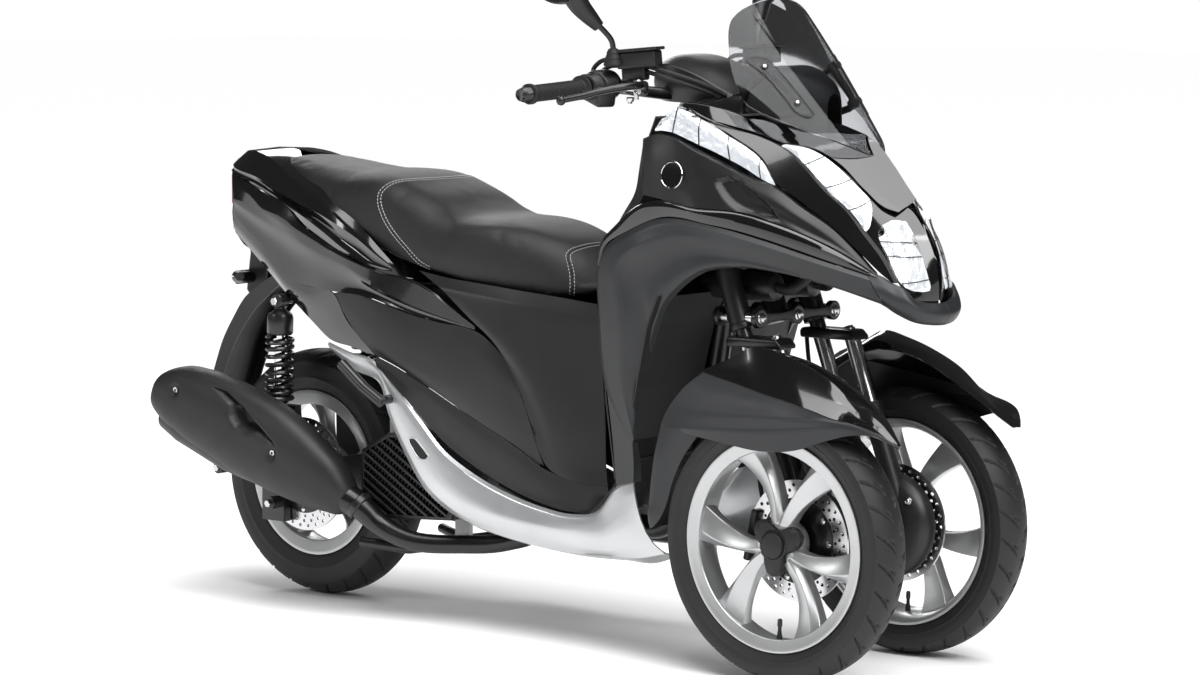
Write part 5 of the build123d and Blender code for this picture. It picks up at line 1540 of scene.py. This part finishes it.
CONTROL_BOXES = (
    # name, place, size, finish, bevel, then its turns about y and z
    ("switch_box", (896, 214, 1040), (66, 40, 30), SATIN_DARK, 7, (14, 20)),
    ("lever_clamp", (958, 190, 1056), (60, 38, 26), BLACK_METAL, 6, (4, 26)),
    ("reservoir", (968, 184, 1106), (76, 40, 30), SATIN_DARK, 4, (-5, -18)),
    ("reservoir_cap", (967, 184, 1124), (84, 47, 6), SATIN_DARK, 2, (-5, -18)),
    ("reservoir_foot", (962, 188, 1082), (46, 28, 30), BLACK_METAL, 5, (-5, -18)),
)
MIRROR_STEM = [(931, 214, 1104), (932, 215, 1122), (931, 219, 1140), (924, 232, 1158), (914, 246, 1174)]
MIRROR_NECK = [(918, 240, 1166), (910, 254, 1182), (900, 272, 1204), (894, 290, 1232)]
MIRROR_PLACE = (888, 303, 1250)
MIRROR_SIZE = (24, 63, 44)


def on_bar(share, side):
    """A place along the straight outer part of the handlebar."""
    place = BAR_IN + (BAR_OUT - BAR_IN) * share
    return place * (1, side, 1)


def along_bar(side):
    """The direction of the handlebar's outer part."""
    direction = (BAR_OUT - BAR_IN) * (1, side, 1)
    return direction / np.linalg.norm(direction)


def stretch(piece, centre, scale, turn=0):
    """Scales a piece about a centre in millimetres, then turns it about the vertical."""
    middle_point = at(*centre)
    c, s = cos(turn), sin(turn)
    for v in piece.data.vertices:
        away = v.co - middle_point
        x, y, z = away.x * scale[0], away.y * scale[1], away.z * scale[2]
        v.co = middle_point + Vector((x * c - y * s, x * s + y * c, z))
    return piece


def rounded_box(name, centre, size, finish, body="root", bevel=4, turn=(0, 0, 0)):
    """A box with rounded edges, turned about its middle by three angles in degrees."""
    rotation = Euler([radians(a) for a in turn]).to_matrix()
    verts = []
    for sx in (-1, 1):
        for sy in (-1, 1):
            for sz in (-1, 1):
                corner = Vector((sx * size[0] / 2, sy * size[1] / 2, sz * size[2] / 2))
                verts.append(Vector(centre) + rotation @ corner)
    faces = [(0, 1, 3, 2), (4, 6, 7, 5), (0, 4, 5, 1), (2, 3, 7, 6), (0, 2, 6, 4), (1, 5, 7, 3)]
    return soften(outward(mesh_piece(name, verts, faces, finish, body)), bevel, 4)


def build_grip(side):
    """The rubber grip with its ribs, its flange and the bar's end weight."""
    length = np.linalg.norm(BAR_OUT - BAR_IN)
    start, end = 0.22 * length, 0.9 * length
    profile = [(11, start), (23, start), (24, start + 1.5), (24, start + 4), (18, start + 6)]
    ribs = 26
    step = (end - start - 16) / ribs
    for k in range(ribs):
        here = start + 8 + step * k
        profile += [(16.9, here), (16.9, here + step * 0.6), (16.1, here + step * 0.7),
                    (16.1, here + step * 0.9)]
    profile += [(17, end - 7), (20.5, end - 5), (20.5, end - 1), (19, end), (11, end)]
    origin, axis = on_bar(0, side), along_bar(side)
    grip = turned(f"grip_{side}", profile, origin, axis, GRIP, "handlebar", segments=48)
    weight = [(8, end), (15, end), (16, end + 2), (15, end + 10), (12.4, end + 15.5), (10, end + 16),
              (8, end + 14), (0, end + 14)]
    cap = turned(f"bar_weight_{side}", weight, origin, axis, BLACK_METAL, "handlebar", segments=48)
    return grip, cap


def build_side_controls(side):
    """Throttle and switch housings, lever, fluid reservoir and hoses on one side."""
    origin, axis = on_bar(0, side), along_bar(side)
    housing = [(11, -24), (24, -24), (29, -21), (31, -14), (31, 8), (29, 12), (26, 14), (26, 30), (23, 33),
               (11, 33)]
    parts = [turned(f"switch_housing_{side}", housing, origin, axis, SATIN_DARK, "handlebar", bevel=1)]
    for part, (x, y, z), size, finish, bevel, (tip, turn) in CONTROL_BOXES:
        parts.append(rounded_box(f"{part}_{side}", (x, side * y, z), size, finish, "handlebar", bevel,
                                 (0, tip, side * turn)))
    parts.append(turned(f"lever_pivot_{side}", [(0, -13), (9, -13), (10, -11), (10, 11), (9, 13), (0, 13)],
                        (984, side * 208, 1057), (0, 0, 1), STEEL, "handlebar", segments=32))
    parts.append(tube(f"lever_{side}", [(x, y * side, z) for x, y, z in LEVER], [9, 8, 7.5, 6.5, 6, 5.5],
                      BLACK_METAL, "handlebar", sides=20))
    ball = [(0, -9), (5, -7.6), (8.2, -3.6), (9, 0), (8.2, 3.6), (5, 7.6), (0, 9)]
    parts.append(turned(f"lever_ball_{side}", ball, (918, side * 346, 1034.5), (0, 1, 0), BLACK_METAL,
                        "handlebar", segments=32, sharp=60))
    parts.append(tube(f"lever_spring_{side}", [(950, side * 206, 1050), (966, side * 214, 1052),
                                               (984, side * 216, 1050), (986, side * 214, 1034)], 4.4, STEEL,
                      "handlebar", sides=16))
    parts.append(turned(f"clamp_screw_{side}", [(0, 0), (6, 0), (7, -2), (7, -8), (4, -9), (4, -12),
                                                (0, -12)], (962, side * 203, 1038), (0, 0, 1), STEEL,
                        "handlebar", segments=24))
    for n, hose in enumerate(HOSES):
        parts.append(tube(f"hose_{side}_{n}", [(x, y * side, z) for x, y, z in hose], 4.2, GRIP, "handlebar",
                          sides=14))
    return parts


def build_mirror(side):
    """A mirror on its stem, with the boot at the foot."""
    stem, neck = ([(x, y * side, z) for x, y, z in line] for line in (MIRROR_STEM, MIRROR_NECK))
    boot = [(0, -14), (17, -14), (18, -11), (15, -2), (15.5, 0), (12, 8), (12.5, 10), (9, 17), (5, 19),
            (0, 19)]
    parts = [
        tube(f"mirror_stem_{side}", stem, 5.2, BLACK_METAL, "handlebar", sides=20),
        turned(f"mirror_boot_{side}", boot, (931, side * 214, 1108), (0, 0, 1), GRIP, "handlebar"),
        tube(f"mirror_neck_{side}", neck, [11, 15, 19, 22], SATIN_DARK, "handlebar", sides=32),
    ]
    place = tuple(np.array(MIRROR_PLACE) * (1, side, 1))
    shell = [(0, 1), (0.35, 0.95), (0.66, 0.75), (0.87, 0.42), (0.97, 0.06), (1, -0.2), (1, -0.32),
             (0.97, -0.4), (0.93, -0.4), (0.92, -0.34), (0, -0.34)]
    turn = radians(14) * side
    housing = turned(f"mirror_shell_{side}", shell, place, (1, 0, 0), SATIN_DARK, "handlebar", segments=96,
                     sharp=40)
    scale = MIRROR_SIZE
    parts.append(stretch(housing, place, scale, turn))
    glass = turned(f"mirror_glass_{side}", [(0, -0.36), (0.91, -0.36), (0.91, -0.33), (0, -0.33)], place,
                   (1, 0, 0), MIRROR_GLASS, "handlebar", segments=96)
    return parts, stretch(glass, place, scale, turn)


def build_hood():
    """The cover over the middle of the handlebar."""
    verts = []
    for x, half, low, shoulder, high in HOOD_RINGS:
        left = [(half * 0.9, low), (half, (low + shoulder) / 2), (half * 0.93, shoulder),
                (half * 0.5, high - 3)]
        ring = left + [(0, high)] + [(-y, z) for y, z in left[::-1]] + [(0, low - 4)]
        verts.append(curve([(x, y, z) for y, z in ring], 4, corners=(0, 2, 6, 8), closed=True)[:-1])
    count = len(verts[0])
    lines = np.array([curve(np.array(verts)[:, k], 5) for k in range(count)]).transpose(1, 0, 2)
    faces = grid_faces(len(lines), count, False, True) + end_faces(len(lines), count)
    hood = outward(mesh_piece("handlebar_hood", lines.reshape(-1, 3), faces, SATIN_DARK, "handlebar"))
    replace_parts(soften(hood, 1.6), "handlebar_cover")


def build_handlebar():
    """Everything that turns with the handlebar."""
    grips, weights, controls, mirrors, glasses = [], [], [], [], []
    for side in (RIGHT, LEFT):
        grip, weight = build_grip(side)
        grips.append(grip)
        weights.append(weight)
        controls += build_side_controls(side)
        parts, glass = build_mirror(side)
        mirrors += parts
        glasses.append(glass)
    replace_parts(merged("handlebar_grips", grips), "grips")
    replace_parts(merged("handlebar_controls", controls + weights), "controls")
    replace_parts(merged("mirror_arms", mirrors), "mirrors")
    merged("mirror_glasses", glasses)
    build_hood()


build_handlebar()


# ---- front suspension, brakes and radiator -----------------------------------------------------------
FORK_Y = 112                   # each steering axis, either side of the middle
FORK_SPACING = 72              # from the rear leg of a fork to its front leg
ARM_LEVELS = (640, 745)
ARM_X = 44
DISC_Y = HALF_TRACK - 42
NOSE_HOSES = (
    # line, radius, sides
    ([(1192, 58, 693), (1216, 58, 690), (1236, 44, 704), (1250, 26, 736), (1256, 20, 790)],
     [10, 10, 9.5, 9, 9], 24),
    ([(1120, 30, 800), (1180, 44, 776), (1222, 60, 756), (1262, 40, 770), (1290, 12, 800)], 4, 14),
    ([(1010, 40, 742), (1050, 66, 735), (1086, 40, 700), (1092, 22, 668)], 3.2, 12),
)
RADIATOR = [(230, 222), (236, 328), (306, 366), (337, 368), (476, 226), (468, 207), (228, 192)]
# profiles turned about an axis: (radius, reach)
SLIDER = [(0, 0), (15.4, 0), (21.5, 0.8), (22, 2.5), (22, 9), (20.6, 10.5), (20.4, 13), (21.4, 14.5),
          (21.4, 22), (19.4, 24), (19.2, 60), (19, 190), (18.4, 252), (15, 258), (0, 258)]
HUB_HOUSING = [(0, 4), (92, 4), (97, 1), (99, -4), (99, -14), (95, -24), (84, -36), (62, -43), (58, -45),
               (30, -48), (0, -48)]
CANISTER = [(0, 0), (20, 0), (25, 4), (26, 10), (26, 74), (27.5, 76), (27.5, 84), (26, 86), (26, 150),
            (24, 158), (14, 162), (0, 163)]
TRIM_OPENING = [(385, 362), (393, 365), (418, 350), (437, 333), (432, 327), (414, 327), (396, 343)]


def bolt(name, place, axis, radius, body="root"):
    """A flanged hexagon screw head."""
    flange = [(0, -3), (radius, -3), (radius, 0.6), (radius * 0.9, 1.6), (0, 1.6)]
    head = [(0, 1), (radius * 0.78, 1), (radius * 0.78, 5), (radius * 0.66, 6), (0, 6)]
    return [turned(f"{name}_flange", flange, place, axis, STEEL, body, segments=24),
            turned(f"{name}_head", head, place, axis, STEEL, body, segments=6)]


def fork_width(side, half):
    """The two y of a plate across a fork, the lower first."""
    return sorted((side * (FORK_Y - half), side * (FORK_Y + half)))


def leg_point(lead, side, z):
    """A point on the middle line of a fork leg."""
    return (steer_x(z) + lead, side * FORK_Y, z)


def build_fork(name, side):
    """One fork with its two legs, its axle and, as a piece of its own, its brake."""
    body = f"fork_{name}"
    parts = [tube("stem", [leg_point(0, side, 590), leg_point(0, side, 780)], 14.8, BLACK_METAL, body,
                  sides=32, steps=1)]
    rear, front = steer_x(600), steer_x(600) + FORK_SPACING
    crown = [(rear - 27, 588), (rear - 29, 600), (rear - 24, 607), (front + 12, 607), (front + 24, 596),
             (front + 24, 588)]
    parts.append(plate("crown", crown, *fork_width(side, 25), BLACK_METAL, body, 5))
    for lead in (0, FORK_SPACING):
        parts.append(tube("inner_tube", [leg_point(lead, side, 592), leg_point(lead, side, 460)], 14.6, STEEL,
                          body, sides=40, steps=1))
        top, foot = leg_point(lead, side, 474), leg_point(lead, side, 300)
        parts.append(turned("slider", SLIDER, top, np.array(foot) - np.array(top), SATIN_DARK, body, 40))
        parts += bolt("cap", leg_point(lead - 2, side, 607), (-0.34, 0, 0.94), 12, body)
    x = steer_x(250)
    bridge = [(x - 15, 226), (x - 9, 262), (x + 2, 272), (x + 70, 277), (x + 79, 270), (x + 82, 226)]
    parts.append(plate("bridge", bridge, *fork_width(side, 16), SATIN_DARK, body, 6))
    axle = [(WHEELBASE, side * y, AXLE_Z) for y in (FORK_Y - 30, HALF_TRACK + 30)]
    parts.append(tube("axle", axle, 9.8, STEEL, body, sides=32, steps=1))
    parts += bolt("axle_nut", (WHEELBASE, side * (FORK_Y - 24), AXLE_Z), (0, -side, 0), 17, body)
    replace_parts(merged(f"fork_legs_{name}", parts), body)
    place = (WHEELBASE, side * (FORK_Y + 26), AXLE_Z)
    pieces = [turned("hub_housing", HUB_HOUSING, place, (0, side, 0), SATIN_DARK, body, 96, bevel=1)]
    for angle in (38, 128, 218, 308):
        spot = (WHEELBASE + 80 * cos(radians(angle)), side * (FORK_Y - 13), AXLE_Z + 82 * sin(radians(angle)))
        pieces += bolt("housing_bolt", spot, (0, -side, 0), 7, body)
    for part, x, y, size, bevel in (("body", 1222, DISC_Y - 16, (56, 18, 102), 6),
                                    ("bridge", 1210, DISC_Y, (14, 30, 96), 4)):
        pieces.append(rounded_box(f"caliper_{part}", (x, side * y, 252), size, SATIN_DARK, body, bevel,
                                  (0, 12, 0)))
    for dz in (-26, 26):
        spot = (1224 - dz * 0.2, side * (DISC_Y - 24), 252 + dz)
        boss = [(0, -4), (19, -4), (20, -2), (20, 5), (17, 8), (0, 9)]
        pieces.append(turned("piston_boss", boss, spot, (0, -side, 0), SATIN_DARK, body, 40))
        pieces += bolt("caliper_bolt", (1246, side * (DISC_Y - 26), 252 + dz * 1.2), (0, -side, 0), 7, body)
    line = [(1214, side * (DISC_Y - 26), 296), (1196, side * 116, 340), (1176, side * 84, 420),
            (1166, side * 80, 500), (1152, side * 86, 566), (1140, side * 98, 596)]
    pieces.append(tube("brake_line", line, 4, GRIP, body, sides=14, steps=8))
    merged(f"front_brake_{name}", pieces)


def build_arms():
    """The parallelogram of tilt arms with its bolts, and the posts that the steering turns in."""
    parts = []
    for z in ARM_LEVELS:
        x = steer_x(z)
        for dx in (-ARM_X, ARM_X):
            low, high = x + dx - 5.5, x + dx + 5.5
            toward = 1 if dx > 0 else -1
            for y in (-FORK_Y, 0, FORK_Y):
                parts.append(turned("bush", [(8, -6), (18, -6), (18, 6), (8, 6)], (x + dx, y, z), (1, 0, 0),
                                    BLACK_METAL, segments=40, closed=True, bevel=1.5))
                parts += bolt("arm_bolt", (x + dx + toward * 6, y, z), (toward, 0, 0), 11)
            # the arm is tallest at its three bearings
            fine = curve([(share * FORK_Y, 8.5 if share in (-0.5, 0.5) else 11.5)
                          for share in (-1, -0.5, 0, 0.5, 1)], 6)
            edge = [(y, z - half) for y, half in fine] + [(y, z + half) for y, half in fine[::-1]]
            faces_of_arm = ([(face_x, y, height) for y, height in edge] for face_x in (low, high))
            parts.append(soften(slab("arm_beam", *faces_of_arm, SATIN_DARK), 3))
    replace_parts(merged("tilt_linkage", parts), "tilt_arms")
    posts = []
    for side in (RIGHT, LEFT):
        low, high = leg_point(0, side, 618), leg_point(0, side, 770)
        reach = (770 - 618) / cos(RAKE)
        profile = [(15.4, 0), (23.6, 0), (23.8, 10), (21.6, 13), (21.6, reach - 13), (23.8, reach - 10),
                   (23.6, reach), (15.4, reach)]
        posts.append(turned("post", profile, low, np.array(high) - np.array(low), SATIN_DARK, segments=48,
                            closed=True, bevel=1.5))
        for z in ARM_LEVELS:
            for ends in ((-ARM_X + 6.5, -21), (21, ARM_X - 6.5)):
                pin = [(steer_x(z) + reach_x, side * FORK_Y, z) for reach_x in ends]
                posts.append(tube("trunnion", pin, 11.8, STEEL, sides=32, steps=1))
    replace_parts(merged("steering_posts", posts), "bearing_posts")


def build_nose_parts():
    """The hoses and canisters between the arms and behind the nose."""
    parts = [turned("canister", CANISTER, (1030, side * 58, 693), (1, 0, 0), SATIN_DARK)
             for side in (RIGHT, LEFT)]
    for side in (RIGHT, LEFT):
        for line, radius, sides in NOSE_HOSES:
            route = [(x, side * y, z) for x, y, z in line]
            parts.append(tube("hose", route, radius, GRIP, sides=sides, steps=8))
    merged("nose_services", parts)


def inside_span(outline, start, step):
    """Where a line crosses an outline: the first and the last share along it."""
    found = []
    for (x0, z0), (x1, z1) in zip(outline, outline[1:] + outline[:1]):
        det = step[0] * (z1 - z0) - step[1] * (x1 - x0)
        if abs(det) < 1e-9:
            continue
        t = ((x0 - start[0]) * (z1 - z0) - (z0 - start[1]) * (x1 - x0)) / det
        s = ((x0 - start[0]) * step[1] - (z0 - start[1]) * step[0]) / det
        if 0 <= s <= 1:
            found.append(t)
    return (min(found), max(found)) if len(found) > 1 else None


def build_radiator():
    """A slatted cover over the radiator fan, on the right of the engine."""
    parts = [plate("radiator_base", RADIATOR, -132, -97, SATIN_DARK, bevel=2)]
    middle_x, middle_z = np.mean([p[0] for p in RADIATOR]), np.mean([p[1] for p in RADIATOR])
    inner = [(middle_x + (x - middle_x) * 0.93, middle_z + (z - middle_z) * 0.9) for x, z in RADIATOR]
    loops = ((RADIATOR, -130), (RADIATOR, -148), (inner, -149), (inner, -130))
    points = [(x, y, z) for outline, y in loops for x, z in outline]
    faces = grid_faces(len(loops), len(RADIATOR), True, True)
    parts.append(soften(outward(mesh_piece("radiator_frame", points, faces, SATIN_DARK)), 1.5))
    run = np.array((220, -125)) / np.hypot(220, 125)
    across = np.array((125, 220)) / np.hypot(220, 125)
    # slats along the slope and finer, deeper ribs across it: direction, the other one, numbers, pitch,
    # shortest, reach into the frame, half width, outer face and bevel
    for name, along, other, numbers, pitch, least, reach, half, face_y, bevel in (
            ("slat", run, across, range(-7, 9), 15, 14, 3, 2.6, -148, 1),
            ("rib", across, run, range(-14, 15), 9, 10, 2, 1.3, -142, 0.5)):
        for k in numbers:
            start = np.array((middle_x, middle_z)) + other * pitch * k
            span = inside_span(inner, start, along)
            if not span or span[1] - span[0] < least:
                continue
            low, high = start + along * (span[0] - reach), start + along * (span[1] + reach)
            wide = other * half
            corners = [tuple(c) for c in (low - wide, high - wide, high + wide, low + wide)]
            parts.append(plate(name, corners, face_y, -130, SATIN_DARK, bevel=bevel))
    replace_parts(merged("radiator_grille", parts), "radiator_cover")


def build_trim_opening_shade():
    """The opening in the silver trim ahead of the radiator, drawn as a flat deep-black plate that is painted
    shade, with a silver rim round it.
    """
    trim = bpy.data.objects["side_trim"]
    ring = curve(np.array(TRIM_OPENING, float), 5, corners=(0, 3), closed=True)[:-1]
    placed = []
    for x, z in ring:
        place, normal = panel_point(trim, x, z)
        placed.append(place + normal * 0.7)
    placed = np.array(placed)
    centre = placed.mean(0)
    rows = [centre + (placed - centre) * share for share in (1, 0.85, 0.5)]
    verts = list(rows[0]) + [p + (0, 0.5, 0) for p in rows[1]] + [p + (0, 0.3, 0) for p in rows[2]] + [centre]
    count = len(ring)
    faces = grid_faces(3, count, False, True)
    faces += [(2 * count + k, 2 * count + (k + 1) % count, 3 * count) for k in range(count)]
    # a flat deep-black plate just over the trim: painted shade standing in for the shadowed inside of the
    # opening
    shade_plate = mesh_piece("trim_opening_shade", verts, faces, DARK)
    mirrored(shade_plate)
    modifier(shade_plate, "SOLIDIFY", thickness=0.0015, offset=0)
    mirrored(tube("trim_opening_edge", placed, 1.3, SILVER, sides=8, steps=1, closed=True))


for side_name, side_sign in (("left", LEFT), ("right", RIGHT)):
    build_fork(side_name, side_sign)
build_arms()
build_nose_parts()
build_radiator()
build_trim_opening_shade()


# ---- studio and camera -------------------------------------------------------------------------------
CAMERA_AT = (4.8245, -5.6787, 1.2935)
CAMERA_AIM = (0.07875, 0.03369, 0.56351)
LENS = 116.43


def aimed(name, data, place, aim):
    """A light or camera at a place, turned towards a point. Metres."""
    made = bpy.data.objects.new(name, data)
    made.location = place
    made.rotation_mode = "QUATERNION"
    made.rotation_quaternion = (Vector(aim) - Vector(place)).to_track_quat("-Z", "Y")
    bpy.context.scene.collection.objects.link(made)
    return made


def softbox(name, place, aim, size, power):
    """A rectangular studio light, aimed at a point. Metres and watts."""
    light = bpy.data.lights.new(name, "AREA")
    light.shape = "RECTANGLE"
    light.size, light.size_y = size
    light.energy = power
    aimed(name, light, place, aim)


def build_studio():
    """The floor, the surroundings, the lights and the camera."""
    floor_mesh = bpy.data.meshes.new("floor")
    reach = 40                 # half the floor's width, metres
    floor_mesh.from_pydata([(-reach, -reach, 0), (reach, -reach, 0), (reach, reach, 0), (-reach, reach, 0)],
                           [], [(0, 1, 2, 3)])
    floor_mesh.materials.append(finish_material("paper", (0.93, 0.93, 0.93), 0.8, tint=0.01, uneven=0.02))
    floor = bpy.data.objects.new("floor", floor_mesh)
    bpy.context.scene.collection.objects.link(floor)
    world = bpy.data.worlds.new("studio")
    world.use_nodes = True
    tree = world.node_tree
    # what plain surfaces, glossy surfaces and the camera see of the surroundings
    sky = set_inputs(tree, tree.nodes["Background"], Color=(0.8, 0.8, 0.8, 1), Strength=0.42)
    dim = add_node(tree, "Background", Color=(0.8, 0.8, 0.8, 1), Strength=0.06)
    white = add_node(tree, "Background", Color=(1, 1, 1, 1), Strength=1.05)
    seen = tree.nodes.new("ShaderNodeLightPath").outputs
    shader = sky.outputs["Background"]
    for ray, other in (("Is Glossy Ray", dim), ("Is Camera Ray", white)):
        mix = add_node(tree, "MixShader", Fac=seen[ray])
        tree.links.new(shader, mix.inputs[1])
        tree.links.new(other.outputs["Background"], mix.inputs[2])
        shader = mix.outputs["Shader"]
    tree.links.new(shader, tree.nodes["World Output"].inputs["Surface"])
    bpy.context.scene.world = world
    sun = bpy.data.lights.new("sun", "SUN")
    sun.energy = 2.95
    sun.angle = radians(50)
    aimed("sun", sun, (0, 0, 0), (-0.45, 0.25, -1))
    softbox("top_light", (0.2, -0.2, 3.6), (0, 0, 0.4), (3.6, 1.2), 60)
    softbox("key_light", (4.2, -1.6, 3.0), (0.2, 0, 0.5), (1.4, 1.8), 70)
    softbox("side_light", (-2.6, -4.0, 2.6), (-0.2, 0, 0.6), (2.2, 0.7), 40)
    softbox("back_light", (-3.4, 3.0, 2.6), (0, 0, 0.6), (3.0, 1.0), 50)
    camera = bpy.data.cameras.new("camera")
    camera.lens = LENS
    camera.sensor_width = 36
    camera.clip_end = 200
    bpy.context.scene.camera = aimed("camera", camera, CAMERA_AT, CAMERA_AIM)
    bpy.context.scene.view_settings.view_transform = "Standard"


build_studio()
